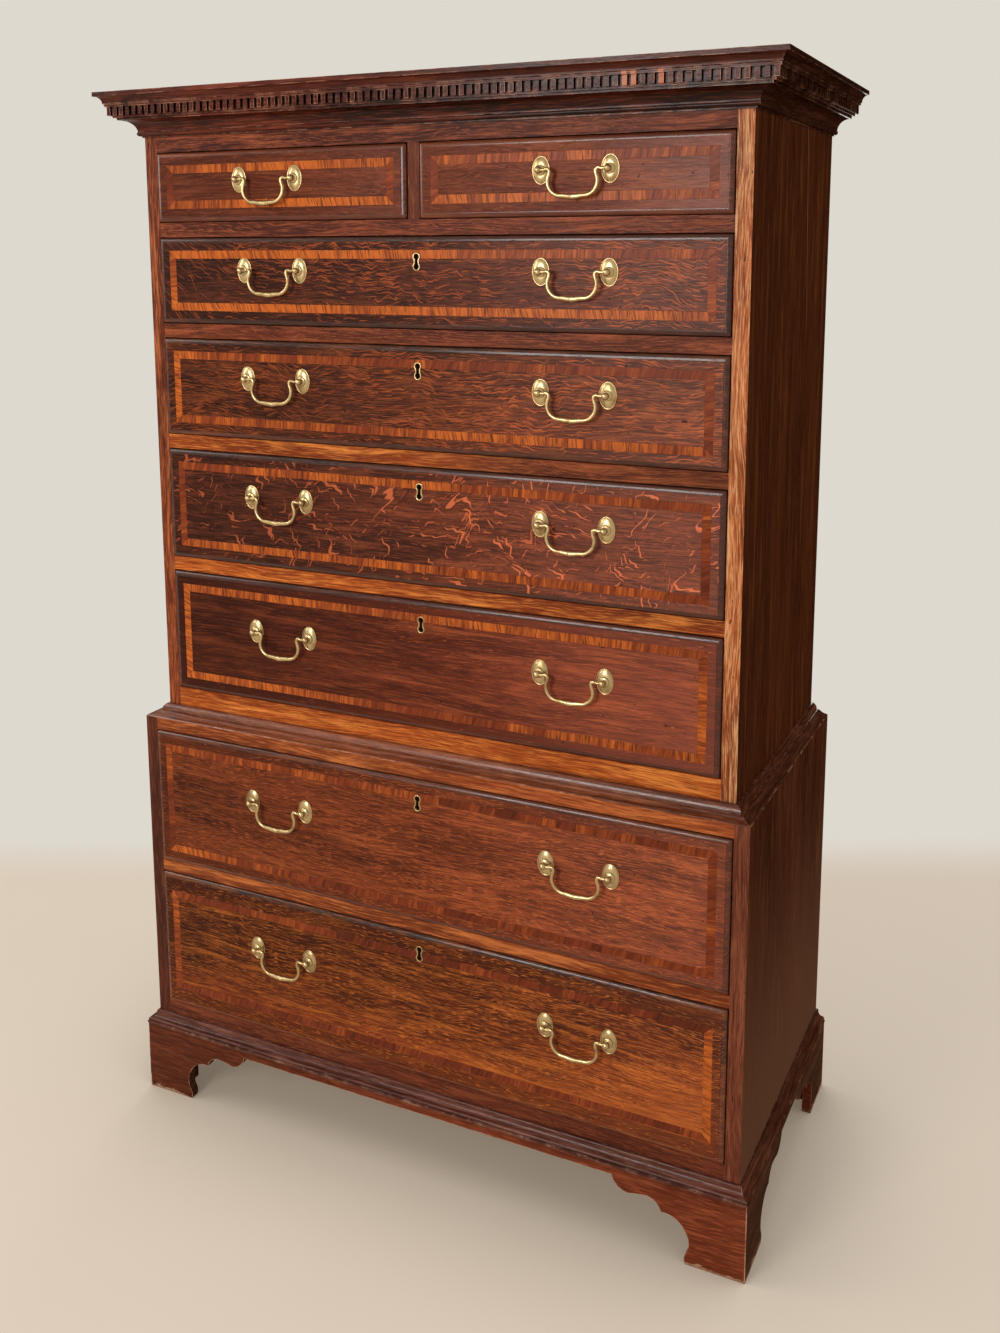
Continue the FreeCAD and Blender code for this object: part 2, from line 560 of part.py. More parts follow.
# ---- drawers ----
class Drawer:
    """A closed drawer. Its opening and the face of the rails round it set where it lies."""

    def __init__(self, name, left, right, floor, height, rail_face, handles, handle_rise,
                 keyhole=None, banding_margin=BANDING_MARGIN):
        ceiling = floor + height
        self.name = name
        self.ceiling = ceiling
        self.x0 = left + DRAWER_SIDE_GAP
        self.x1 = right - DRAWER_SIDE_GAP
        self.z0 = floor + DRAWER_BOTTOM_GAP
        self.z1 = ceiling - DRAWER_TOP_GAP
        self.face = rail_face - FRONT_PROUD
        self.inner = self.face + FRONT_THICKNESS
        self.end = BACK_FACE - DRAWER_END_GAP
        self.side_z0 = floor + SLIDE_GAP
        self.side_z1 = self.z1 - SIDE_TOP_DROP
        self.bottom_z0 = self.side_z0 + BOTTOM_LIFT
        self.bottom_z1 = self.bottom_z0 + DRAWER_BOTTOM
        self.banded = (left + BANDING_MARGIN, right - BANDING_MARGIN,
                       floor + banding_margin, ceiling - banding_margin)
        self.handles = handles
        self.posts_z = floor + handle_rise
        self.posts_x = []
        for x in handles.values():
            self.posts_x += [x - POST_SPAN / 2, x + POST_SPAN / 2]
        self.keyhole = None
        if keyhole:
            self.keyhole = (keyhole[0], ceiling - keyhole[1])

    def banding(self):
        """Four mitred strips let into the face."""
        x0, x1, z0, z1 = self.banded
        rings = []
        for inset in (0, BANDING_WIDTH):
            rings.append([Vector(x, self.face, z) for x, z in (
                (x0 + inset, z0 + inset), (x1 - inset, z0 + inset),
                (x1 - inset, z1 - inset), (x0 + inset, z1 - inset))])
        outer, inner = rings
        strips = []
        for here in range(4):
            after = (here + 1) % 4
            corners = [outer[here], outer[after], inner[after], inner[here]]
            strips.append(prism(corners, Vector(0, BANDING_DEPTH, 0)))
        return strips

    def side(self, x0):
        """A drawer side with dovetails that lap into the back of the front."""
        tails = max(2, round((self.side_z1 - self.side_z0) / DOVETAIL_PITCH))
        pitch = (self.side_z1 - self.side_z0) / tails
        root = pitch / 4
        tip = root + DOVETAIL_LAP * DOVETAIL_SLOPE
        tips_y = self.inner - DOVETAIL_LAP
        corners = [(self.end, self.side_z1), (self.end, self.side_z0),
                   (self.inner, self.side_z0)]
        for tail in range(tails):
            middle = self.side_z0 + (tail + 0.5) * pitch
            corners += [(self.inner, middle - root), (tips_y, middle - tip),
                        (tips_y, middle + tip), (self.inner, middle + root)]
        corners.append((self.inner, self.side_z1))
        return prism([Vector(x0, y, z) for y, z in corners], Vector(DRAWER_SIDE, 0, 0))

    def sides(self):
        return [self.side(self.x0), self.side(self.x1 - DRAWER_SIDE)]

    def bottom(self):
        reach = DRAWER_SIDE - BOTTOM_GROOVE
        return box(self.x0 + reach, self.x1 - reach, self.inner - BOTTOM_GROOVE, self.end,
                   self.bottom_z0, self.bottom_z1)

    def back(self):
        return box(self.x0 + DRAWER_SIDE, self.x1 - DRAWER_SIDE, self.end - DRAWER_BACK,
                   self.end, self.bottom_z1, self.side_z1 - BACK_TOP_DROP)

    def box_pieces(self):
        bottom = self.bottom()
        return [side.cut(bottom) for side in self.sides()] + [self.back(), bottom]

    def lobes(self, radius, waist, y0, y1):
        """A keyhole's figure-of-eight outline, from one depth to another."""
        x, z = self.keyhole
        half = KEYHOLE_LOBE_SPACING / 2
        neck = box(x - waist / 2, x + waist / 2, y0, y1, z - half, z + half)
        return neck.fuse([rod(x, y0, y1, z + half, radius), rod(x, y0, y1, z - half, radius)])

    def keyhole_cut(self):
        rim = ESCUTCHEON_RIM
        return self.lobes(ESCUTCHEON_LOBE_RADIUS - rim, ESCUTCHEON_WAIST - 2 * rim,
                          self.face, self.inner - LOCK_DEPTH)

    def escutcheon_recess(self):
        return self.lobes(ESCUTCHEON_LOBE_RADIUS, ESCUTCHEON_WAIST, self.face,
                          self.face + ESCUTCHEON_DEPTH)

    def escutcheon(self):
        return self.escutcheon_recess().cut(self.keyhole_cut())

    def lock_block(self):
        x = self.keyhole[0]
        return box(x - LOCK_WIDTH / 2, x + LOCK_WIDTH / 2, self.inner - LOCK_DEPTH, self.inner,
                   self.z1 - LOCK_HEIGHT, self.z1)

    def bolt(self, gap=0.0):
        """The withdrawn bolt, or its channel when there is a gap round it."""
        x = self.keyhole[0]
        middle = self.inner - LOCK_DEPTH / 2
        return box(x - BOLT_WIDTH / 2 - gap, x + BOLT_WIDTH / 2 + gap,
                   middle - BOLT_THICKNESS / 2 - gap, middle + BOLT_THICKNESS / 2 + gap,
                   self.z1 - BOLT_LENGTH - gap, self.z1)

    def mortise(self):
        """The pocket in the rail above that takes the thrown bolt."""
        x = self.keyhole[0]
        middle = self.inner - LOCK_DEPTH / 2
        half_width = BOLT_WIDTH / 2 + MORTISE_GAP
        half_depth = BOLT_THICKNESS / 2 + MORTISE_GAP
        return box(x - half_width, x + half_width, middle - half_depth, middle + half_depth,
                   self.ceiling, self.z1 + BOLT_THROW + MORTISE_GAP)

    def front_pieces(self):
        """The front board, and the banding in it."""
        blank = box(self.x0, self.x1, self.face, self.inner, self.z0, self.z1)
        rim = [edge for edge in blank.Edges
               if all(abs(vertex.Y - self.face) < 0.001 for vertex in edge.Vertexes)]
        blank = blank.makeFillet(FRONT_EDGE_RADIUS, rim)
        banding = self.banding()
        tools = banding + self.sides() + [self.bottom()]
        for x in self.posts_x:
            tools.append(rod(x, self.face, self.inner, self.posts_z, SHANK_RADIUS))
        if self.keyhole:
            recess = self.escutcheon_recess()
            tools += [self.keyhole_cut(), recess, self.lock_block()]
            banding = [strip.cut(recess) for strip in banding]
        for tool in tools:
            blank = blank.cut(tool)
        return [blank] + banding

    def brasses(self):
        pieces = []
        for x in self.posts_x:
            pieces += [moved(shape, x, self.face, self.posts_z) for shape in (ROSE, POST, NUT)]
        if self.keyhole:
            lock = self.lock_block().cut(self.bolt(BOLT_GAP))
            pieces += [self.escutcheon(), lock]
        return pieces

    def save(self):
        save(self.name + "_front", self.front_pieces())
        save(self.name + "_box", self.box_pieces())
        save(self.name + "_brasses", self.brasses())
        for handle, x in self.handles.items():
            save(self.name + "_" + handle,
                 [moved(BAIL, x, self.face - PIVOT_REACH, self.posts_z)])
        if self.keyhole:
            save(self.name + "_lock_bolt", [self.bolt()])


def long_drawer(row, inside, rail_face, floor, height, handles, handle_rise, keyhole, **options):
    """A drawer across the whole case."""
    left, right = handles
    return Drawer("drawer_" + str(row), -inside, inside, floor, height, rail_face,
                  {"left_bail": left, "right_bail": right}, handle_rise, keyhole, **options)


UPPER_HANDLES = (UPPER_HANDLE_LEFT, UPPER_HANDLE_RIGHT)
LOWER_HANDLES = (LOWER_HANDLE_LEFT, LOWER_HANDLE_RIGHT)
UPPER_KEYHOLE = (UPPER_KEYHOLE_X, KEYHOLE_DROP)
UPPER_DRAWERS = [
    Drawer("drawer_1_left", -UPPER_INSIDE, MUNTIN_LEFT, ROW_1_FLOOR, ROW_1_HEIGHT,
           UPPER_SETBACK, {"bail": ROW_1_HANDLE_LEFT}, ROW_1_HANDLE_RISE),
    Drawer("drawer_1_right", MUNTIN_RIGHT, UPPER_INSIDE, ROW_1_FLOOR, ROW_1_HEIGHT,
           UPPER_SETBACK, {"bail": UPPER_HANDLE_RIGHT}, ROW_1_HANDLE_RISE),
    long_drawer(2, UPPER_INSIDE, UPPER_SETBACK, ROW_2_FLOOR, ROW_2_HEIGHT,
                UPPER_HANDLES, ROW_2_HANDLE_RISE, UPPER_KEYHOLE),
    long_drawer(3, UPPER_INSIDE, UPPER_SETBACK, ROW_3_FLOOR, ROW_3_HEIGHT,
                UPPER_HANDLES, ROW_3_HANDLE_RISE, UPPER_KEYHOLE),
    long_drawer(4, UPPER_INSIDE, UPPER_SETBACK, ROW_4_FLOOR, ROW_4_HEIGHT,
                UPPER_HANDLES, ROW_4_HANDLE_RISE, UPPER_KEYHOLE),
    long_drawer(5, UPPER_INSIDE, UPPER_SETBACK, ROW_5_FLOOR, ROW_5_HEIGHT,
                UPPER_HANDLES, ROW_5_HANDLE_RISE, UPPER_KEYHOLE),
]
LOWER_DRAWERS = [
    long_drawer(6, LOWER_INSIDE, 0, ROW_6_FLOOR, ROW_6_HEIGHT, LOWER_HANDLES,
                ROW_6_HANDLE_RISE, (LOWER_KEYHOLE_X, KEYHOLE_DROP)),
    long_drawer(7, LOWER_INSIDE, 0, ROW_7_FLOOR, ROW_7_HEIGHT, LOWER_HANDLES,
                ROW_7_HANDLE_RISE, (LOWER_KEYHOLE_X, ROW_7_KEYHOLE_DROP),
                banding_margin=DEEP_BANDING_MARGIN),
]

os.makedirs("parts", exist_ok=True)
save_lower_case(LOWER_DRAWERS)
save_upper_case(UPPER_DRAWERS)
for drawer in UPPER_DRAWERS + LOWER_DRAWERS:
    drawer.save()
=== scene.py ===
"""Oak chest on chest: the finish of every surface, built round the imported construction.

Metres, in the construction's own frame: +X right, +Y back, +Z up, origin in the middle of the base.
"""
import json
import math
import random

import bmesh
import bpy
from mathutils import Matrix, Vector

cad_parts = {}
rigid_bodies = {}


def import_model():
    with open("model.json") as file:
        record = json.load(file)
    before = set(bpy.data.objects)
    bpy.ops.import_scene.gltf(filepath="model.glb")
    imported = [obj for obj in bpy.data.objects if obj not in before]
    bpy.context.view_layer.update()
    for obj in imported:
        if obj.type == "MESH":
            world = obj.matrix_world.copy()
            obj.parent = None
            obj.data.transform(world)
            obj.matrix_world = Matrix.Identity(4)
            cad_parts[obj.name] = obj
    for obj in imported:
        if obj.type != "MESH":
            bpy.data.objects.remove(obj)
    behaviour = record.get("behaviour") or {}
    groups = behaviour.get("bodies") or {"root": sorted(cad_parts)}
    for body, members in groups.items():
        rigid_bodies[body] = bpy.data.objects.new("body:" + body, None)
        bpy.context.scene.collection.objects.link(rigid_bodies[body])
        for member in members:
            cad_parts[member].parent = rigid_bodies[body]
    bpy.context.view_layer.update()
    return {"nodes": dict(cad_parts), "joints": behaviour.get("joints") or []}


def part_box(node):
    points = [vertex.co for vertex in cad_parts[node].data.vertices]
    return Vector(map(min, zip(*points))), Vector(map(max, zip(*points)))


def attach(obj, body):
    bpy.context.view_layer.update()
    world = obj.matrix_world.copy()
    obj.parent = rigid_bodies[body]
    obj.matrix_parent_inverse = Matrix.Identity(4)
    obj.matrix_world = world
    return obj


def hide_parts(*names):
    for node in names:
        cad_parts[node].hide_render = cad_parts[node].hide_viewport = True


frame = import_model()

MM = 0.001

# ---- camera, where the photographer stood ----
CAMERA_PLACE = (0.99915, -2.00021, 1.53065)
CAMERA_PITCH = math.radians(90 - 9.331)
CAMERA_ROLL = math.radians(0.093)
CAMERA_YAW = math.radians(25.406)
CAMERA_LENS = 35.53
CAMERA_SHIFT = (-0.0057, -0.1469)

# ---- drawer fronts ----
FRONT_THICKNESS = 22 * MM
EDGE_WIDTH = 7.7 * MM          # thumb moulding, from the edge of the front to its quirk
EDGE_FALL = 6.0 * MM           # how far the moulding falls away at the edge
QUIRK_DEPTH = 0.9 * MM
QUIRK_WIDTH = 0.4 * MM
QUIRK_CHAMFER = 0.35 * MM
EDGE_STEPS = 8
EDGE_OAK = 1                   # slots of a front's materials
RAW_OAK = 2
TAIL_SHOWS = 0.05 * MM         # the dovetails' ends stand out from the end grain by this
CORNER_RADIUS = 2.4 * MM
SHARP_RADIUS = 0.05 * MM       # of the corners that look sharp
CORNER_STEPS = 4
BAND_WIDTH = 13.5 * MM
BAND_DEPTH = 1.5 * MM
BAND_GAP = 0.15 * MM           # between one piece of crossbanding and the next
BAND_PIECE_MIN = 9 * MM
BAND_PIECE_MAX = 42 * MM
FRONT_GAP = 1.5 * MM           # at each end of a front, to the side of its opening
GRAIN_SWING = 32 * MM
FAN_START = 300 * MM           # from the middle of a front, where its flecks start to fan

# ---- handles ----
POST_SPAN = 107 * MM
PIVOT_REACH = 12 * MM
ROSE_HALF_WIDTH = 14 * MM
ROSE_HALF_HEIGHT = 20.5 * MM
ROSE_STEPS = 56
PIN_RADIUS = 2.1 * MM
WIRE_RADIUS = 2.8 * MM
WIRE_SIDES = 16
PIN_OVERRUN = 4 * MM
NECK_INSET = 18 * MM
RISE_RADIUS = 4 * MM
ARCH_RADIUS = 4.5 * MM
ARCH_TURN = math.radians(28)
FLARE_RADIUS = 12 * MM
BEND_RADIUS = 20 * MM
FLARE = math.radians(25)
BEND_STEP = math.radians(11)
GRIP_DROP = 37 * MM
GRIP_BOW = 1.5 * MM            # how much lower the grip is in its middle
GRIP_RADIUS = 4.2 * MM
GRIP_STEPS = 24
RIDGE_HALF_WIDTH = 5 * MM
RIDGE_HEIGHT = 0.5 * MM

# ---- keyholes ----
KEYHOLE_DROP = 38.5 * MM       # top edge of the drawer front to the middle of the keyhole
ROW_7_KEYHOLE_DROP = 33.5 * MM
LOBE_SPACING = 15 * MM
LOBE_RADIUS = 6.5 * MM
WAIST_WIDTH = 9 * MM
LOBE_STEPS = 20
LOCK_DEPTH = 12 * MM
LOCK_WIDTH = 56 * MM
LOCK_HEIGHT = 52 * MM
NUT_WIDTH = 11 * MM
NUT_THICKNESS = 4 * MM
SHANK_RADIUS = 2.5 * MM
SHANK_STANDOUT = 6 * MM

DRAWERS = ["drawer_1_left", "drawer_1_right"] + [f"drawer_{row}" for row in range(2, 8)]
KEYED = [name for name in DRAWERS if name + "_lock_bolt" in frame["nodes"]]


def srgb(red, green, blue):
    """A linear colour from 0 to 255 display values."""
    def linear(value):
        value /= 255
        return value / 12.92 if value <= 0.04045 else ((value + 0.055) / 1.055) ** 2.4
    return (linear(red), linear(green), linear(blue), 1.0)


# ---------------------------------------------------------------- materials
class Value:
    """An output of one of a surface's nodes, with the sums that can be done on it."""

    def __init__(self, surface, socket):
        self.surface = surface
        self.socket = socket

    def math(self, operation, other=0.0):
        return self.surface.value("Math", {0: self, 1: other}, operation=operation)

    def __add__(self, other):
        return self.math("ADD", other)

    def __sub__(self, other):
        return self.math("SUBTRACT", other)

    def __mul__(self, other):
        return self.math("MULTIPLY", other)

    def most(self, other):
        return self.math("MAXIMUM", other)

    def sway(self, size):
        """Noise from 0 to 1 as a shift to either side, size from end to end."""
        return (self - 0.5) * size

    def step(self, low, high, to_low=0.0, to_high=1.0):
        """A smooth step from to_low at low to to_high at high."""
        return self.surface.value("MapRange", {0: self, 1: low, 2: high, 3: to_low, 4: to_high},
                                  interpolation_type="SMOOTHSTEP")

    def within(self, low, high, soft):
        """1 between low and high, falling to 0 over soft at either end."""
        return self.step(low - soft, low) * self.step(high, high + soft, 1.0, 0.0)


class Surface:
    """A material, or the world round the chest, under construction."""

    def __init__(self, name, kind="Material"):
        self.kind = kind
        self.owner = (bpy.data.worlds if kind == "World" else bpy.data.materials).new(name)
        self.owner.use_nodes = True
        self.tree = self.owner.node_tree
        self.tree.nodes.clear()

    def node(self, kind, inputs, **settings):
        """A new node, its inputs filled with values, numbers or colours."""
        made = self.tree.nodes.new("ShaderNode" + kind)
        for setting, choice in settings.items():
            setattr(made, setting, choice)
        for name, filling in inputs.items():
            if isinstance(filling, Value):
                self.tree.links.new(filling.socket, made.inputs[name])
            else:
                made.inputs[name].default_value = filling
        return made

    def value(self, kind, inputs, output=0, **settings):
        return Value(self, self.node(kind, inputs, **settings).outputs[output])

    def place(self):
        return self.value("TexCoord", {}, "Object")

    def parts(self, vector):
        return [Value(self, socket) for socket in self.node("SeparateXYZ", {0: vector}).outputs]

    def xyz(self):
        return self.parts(self.place())

    def join(self, x, y, z):
        return self.value("CombineXYZ", {0: x, 1: y, 2: z})

    def mix(self, under, over, share):
        """A colour with another laid over it."""
        return self.value("Mix", {0: share, 6: under, 7: over}, 2, data_type="RGBA")

    def stretched(self, where, scale, offset=(0, 0, 0)):
        return self.value("Mapping", {"Vector": where, "Location": offset, "Scale": scale})

    def noise(self, where, scale, detail=3.0, roughness=0.55, offset=(0, 0, 0)):
        """Noise from 0 to 1; scale is one number, or one for each axis of where."""
        scales = scale if isinstance(scale, tuple) else (scale, scale, scale)
        return self.value("TexNoise", {"Vector": self.stretched(where, scales, offset), "Scale": 1.0,
                                       "Detail": detail, "Roughness": roughness})

    def openness(self, reach, samples=6):
        """0 in a tight corner, 1 where nothing stands within reach."""
        return self.value("AmbientOcclusion", {"Distance": reach}, "AO", samples=samples)

    def bump(self, height, distance, strength):
        return self.value("Bump", {"Height": height, "Distance": distance, "Strength": strength})

    def finish(self, colour, roughness, normal=None, shine=0.5, metal=0.0):
        inputs = {"Base Color": colour, "Roughness": roughness, "Specular IOR Level": shine,
                  "Metallic": metal}
        if normal is not None:
            inputs["Normal"] = normal
        return self.show(self.value("BsdfPrincipled", inputs))

    def blend(self, first, second, share):
        return self.value("MixShader", {0: share, 1: first, 2: second})

    def seen(self):
        """1 for what is seen, straight or in polish and glass, and 0 for what lights the chest."""
        paths = self.node("LightPath", {}).outputs
        camera, glossy, glass = [Value(self, paths[name]) for name in
                                 ("Is Camera Ray", "Is Glossy Ray", "Is Transmission Ray")]
        return camera.most(glossy).most(glass)

    def show(self, shader):
        self.node("Output" + self.kind, {0: shader})
        return self.owner


def along_grain(surface, axis, seed):
    """The place as (along the grain, across it, depth), shifted so that each board differs."""
    x, y, z = surface.xyz()
    order = {"X": (x, z, y), "Z": (z, x, y), "Y": (y, z, x), "ZY": (z, y, x)}[axis]
    return surface.stretched(surface.join(*order), (1, 1, 1), (seed * 3.7, seed * 1.3, seed * 0.9))


def plain_oak(surface, axis, tones, seed, contrast=1.0, shift=0.0):
    """Oak's colour along an axis, with the grain's own coordinates, its streaks and its pores."""
    dark, middle, light = tones
    straight = along_grain(surface, axis, seed)
    along, across, depth = surface.parts(straight)
    swing = surface.noise(straight, (3.0, 7.0, 1.0), 2.0)
    grain = surface.join(along, across + swing.sway(GRAIN_SWING), depth)
    broad = surface.noise(grain, (1.6, 15.0, 15.0), 3.0, 0.6) + shift
    band = surface.noise(grain, (5.0, 60.0, 60.0), 3.0, 0.6)
    streak = surface.noise(grain, (16.0, 330.0, 330.0), 4.0, 0.65)
    pores = surface.noise(grain, (60.0, 1300.0, 1300.0), 2.0, 0.5).step(0.58, 0.70)
    colour = surface.mix(dark, middle, broad.step(0.32, 0.68))
    colour = surface.mix(colour, light, band.step(0.50, 0.70) * (0.75 * contrast))
    colour = surface.mix(colour, light, streak.step(0.50, 0.72) * (0.60 * contrast))
    colour = surface.mix(colour, dark, streak.step(0.50, 0.32) * (0.70 * contrast))
    colour = surface.mix(colour, srgb(14, 6, 4), pores * 0.35)
    return colour, grain, streak, pores


def dashed(surface, colour, grain, strength, dark, light):
    """The colour with short dark and light lines along the grain, and where the dark ones are."""
    lines = surface.noise(grain, (34.0, 620.0, 620.0), 1.5, 0.5, (3, 8, 1))
    deep = lines.step(0.55, 0.63)
    colour = surface.mix(colour, dark, deep * strength)
    colour = surface.mix(colour, light, lines.step(0.44, 0.36) * (0.75 * strength))
    return colour, deep


def oak(name, axis, tones, seed, contrast, gloss, shine, wear=None, wear_share=0.0, lines=0.35,
        marks=()):
    """Waxed oak for the case: wear is the colour where its edges are rubbed (its corners then get
    painted shade), lines how strong its short dashes are, and marks are functions that paint on its
    colour."""
    surface = Surface(name)
    colour, grain, streak, pores = plain_oak(surface, axis, tones, seed, contrast)
    colour = dashed(surface, colour, grain, lines, tones[0], tones[2])[0]
    for mark in marks:
        colour = mark(surface, colour)
    if wear is not None:
        colour = surface.mix(colour, wear, edge_wear(surface, wear_share))
        # painted shade: corners and recesses darkened as far as 9 mm out
        colour = painted_corner_shade(surface, colour, 9 * MM)
    rough = streak.step(0.3, 0.7, gloss - 0.05, gloss + 0.07)
    return surface.finish(colour, rough, surface.bump(pores, -0.12 * MM, 0.6), shine)


def painted_corner_shade(surface, colour, reach):
    """The colour darkened in the corners as painted shade, as far out of them as reach."""
    return surface.mix(colour, srgb(20, 9, 6), surface.openness(reach).step(0.25, 0.80, 0.85, 0.0))


def crack(top, low, colour):
    """A shrinkage crack down the right side, from top to low, each a (y, z) place, with a lighter lip
    beside it that is partly wear and partly a painted highlight.
    """
    def mark(surface, under):
        x, y, z = surface.xyz()
        lean = (low[0] - top[0]) / (low[1] - top[1])
        wander = surface.noise(surface.place(), (1.0, 9.0, 9.0), 2.0)
        off = y + (lean * top[1] - top[0]) - z * lean + wander.sway(3 * MM)
        right = x.step(0.0, 0.1) * z.step(low[1] - 0.05, low[1] + 0.05)
        # a light line beside the opening: partly a worn lip, partly a painted highlight
        lip_wear_and_highlight = off.within(2.0 * MM, 4.6 * MM, 0.8 * MM) * right
        opening = off.within(-1.6 * MM, 1.6 * MM, 0.4 * MM) * right
        return surface.mix(surface.mix(under, colour, lip_wear_and_highlight * 0.7), srgb(10, 5, 4), opening)
    return mark


def worn_sole(height, colour):
    """Bare wood where mops and shoes have rubbed a foot, up to about height."""
    def mark(surface, under):
        blotch = surface.noise(surface.place(), (45, 45, 90), 4.0, 0.65)
        level = surface.xyz()[2] + blotch.sway(-4 * height)
        return surface.mix(under, colour, level.step(height, 0.3 * height, 0.0, 0.9))
    return mark


def fade_and_painted_light(low, high, left, right):
    """A board partly faded by light and partly given painted light and shade: its colour times left at x
    low, rising to right at x high.
    """
    def mark(surface, under):
        gain = surface.xyz()[0].step(low, high, left, right)
        return surface.value("VectorMath", {0: under, "Scale": gain}, operation="SCALE")
    return mark


def painted_floor_reflection(height, colour):
    """A board paled towards the floor, from height down: a painted reflection of the floor."""
    def mark(surface, under):
        return surface.mix(under, colour, surface.xyz()[2].step(height, 0.1, 0.0, 0.75))
    return mark


def renewed(places, width, low, high, colour):
    """New wood between the heights low and high at the x places."""
    def mark(surface, under):
        x, y, z = surface.xyz()
        level = z.within(low, high, 0.2 * MM)
        for place in places:
            inside = x.within(place - width / 2, place + width / 2, 0.2 * MM) * level
            under = surface.mix(under, colour, inside * 0.8)
        return under
    return mark


def edge_wear(surface, share):
    """Where edges are rubbed: the rounded normal turns away from the true one."""
    rounded = surface.value("Bevel", {"Radius": 2.2 * MM}, samples=4)
    flat = surface.value("NewGeometry", {}, "Normal")
    turn = surface.value("VectorMath", {0: rounded, 1: flat}, 1, operation="DOT_PRODUCT")
    blotch = surface.noise(surface.place(), 38, 4.0, 0.6)
    return turn.step(0.985, 0.90) * blotch.step(0.72 - 0.35 * share, 0.86 - 0.3 * share)


def frame_oak(name, half_opening, seed, rail_tones, red_tones, left_tones, right_tones, muntin=None):
    """Oak of a case's front edges. The rails are orange, and red-brown where the RED places say.
    Past the opening the rails' ends lie in the front edges of the sides and look like those, and
    what is inside the muntin's box has upright grain too."""
    surface = Surface(name)
    x, y, z = surface.xyz()
    level, grain, streak, pores = plain_oak(surface, "X", rail_tones, seed, 1.2)
    level = dashed(surface, level, grain, 0.55, rail_tones[0], rail_tones[2])[0]
    reddish, red_grain = plain_oak(surface, "X", red_tones, seed + 1, 1.1)[:2]
    reddish = dashed(surface, reddish, red_grain, 0.6, red_tones[0], red_tones[2])[0]
    ribbons, beside = ray_flecks(surface, red_grain, 20 * MM, 1.8 * MM, 0.9, 0.4)
    # the dark line beside each fleck: partly figure, partly painted shade
    reddish = surface.mix(reddish, red_tones[0], beside * 0.4)
    reddish = surface.mix(reddish, red_tones[2], ribbons * 0.5)
    red_right = x.step(*RED_RIGHT_PLACES) * z.step(*RED_RIGHT_HEIGHTS) * 0.8
    red_share = z.step(*RED_TOP_HEIGHTS).most(red_right).most(z.step(*RED_FOOT_HEIGHTS))
    level = surface.mix(level, reddish, red_share)
    to_right = x.step(0.0, 0.1)
    stile_tones = [surface.mix(left, right, to_right) for left, right in zip(left_tones, right_tones)]
    upright, up_grain = plain_oak(surface, "Z", stile_tones, seed + 2)[:2]
    upright = dashed(surface, upright, up_grain, 0.6, stile_tones[0], stile_tones[2])[0]
    nicks = surface.noise(surface.place(), (130, 130, 60), 1.0).step(0.71, 0.76)
    upright = surface.mix(upright, srgb(48, 20, 12), nicks * 0.7)
    share = x.math("ABSOLUTE").step(half_opening - 0.1 * MM, half_opening + 0.1 * MM)
    if muntin is not None:
        low, high = muntin
        inside = x.within(low.x, high.x, 0.1 * MM) * z.within(low.z, high.z, 0.1 * MM)
        share = share.most(inside) - inside * 0.5
        level = surface.mix(level, srgb(96, 48, 32), inside)
    # painted shade: corners and gaps of the case front darkened as far as 10 mm out
    colour = painted_corner_shade(surface, surface.mix(level, upright, share), 10 * MM)
    rough = streak.step(0.3, 0.7, 0.34, 0.46)
    return surface.finish(colour, rough, surface.bump(pores, -0.12 * MM, 0.6), 0.10)


def ray_flecks(surface, grain, length, thickness, share, slope, fan=0.0, turn=0.0):
    """Short wavy ribbons where the saw met the rays of the oak, and the dark line beside each, which is
    partly the oak's figure and partly painted shade.

    slope is how steeply they wander, fan how much they rise towards the left end of the board,
    and turn the angle that they stand at to the grain."""
    if turn:
        grain = surface.value("VectorRotate", {"Vector": grain, "Angle": turn},
                              rotation_type="Z_AXIS")
    along, across, depth = surface.parts(grain)
    bow = surface.noise(grain, (7.0, 4.0, 4.0), 1.0)
    ripple = surface.noise(grain, (60.0, 12.0, 12.0), 1.0)
    bent = across + bow.sway(slope / 5) + ripple.sway(slope / 40)
    if fan:
        outward = (surface.xyz()[0] * -1.0 - FAN_START).most(0.0)
        bent = bent + outward * outward * -fan
    ribbons = surface.noise(surface.join(along, bent, depth), (1 / length, 1 / thickness, 60.0),
                            0.6, 0.4)
    patches = surface.noise(grain, (5.0, 18.0, 18.0), 2.0, offset=(5, 2, 1))
    above = ribbons - patches.step(0.30, 0.68, 0.80 - 0.12 * share, 0.70 - 0.12 * share)
    beside = above.step(-0.075, -0.03) * above.step(0.0, 0.015, 1.0, 0.0)
    return above.step(0.0, 0.03), beside


def front_wood(surface, look, low, high, seed):
    """The wood of a drawer front: colour, grain, streaks, pores, dark lines and lean of tone."""
    x, y, z = surface.xyz()
    middle = (low + high) / 2
    half = (high - low) / 2
    lean_x, lean_z = look["lean"]
    lean = (x - middle.x) * (lean_x / half.x) + (z - middle.z) * (lean_z / half.z)
    colour, grain, streak, pores = plain_oak(surface, "X", look["tones"], seed, look["contrast"], lean)
    colour, deep = dashed(surface, colour, grain, look["dashes"], srgb(34, 16, 12), look["tones"][2])
    return colour, grain, streak, pores, deep, lean


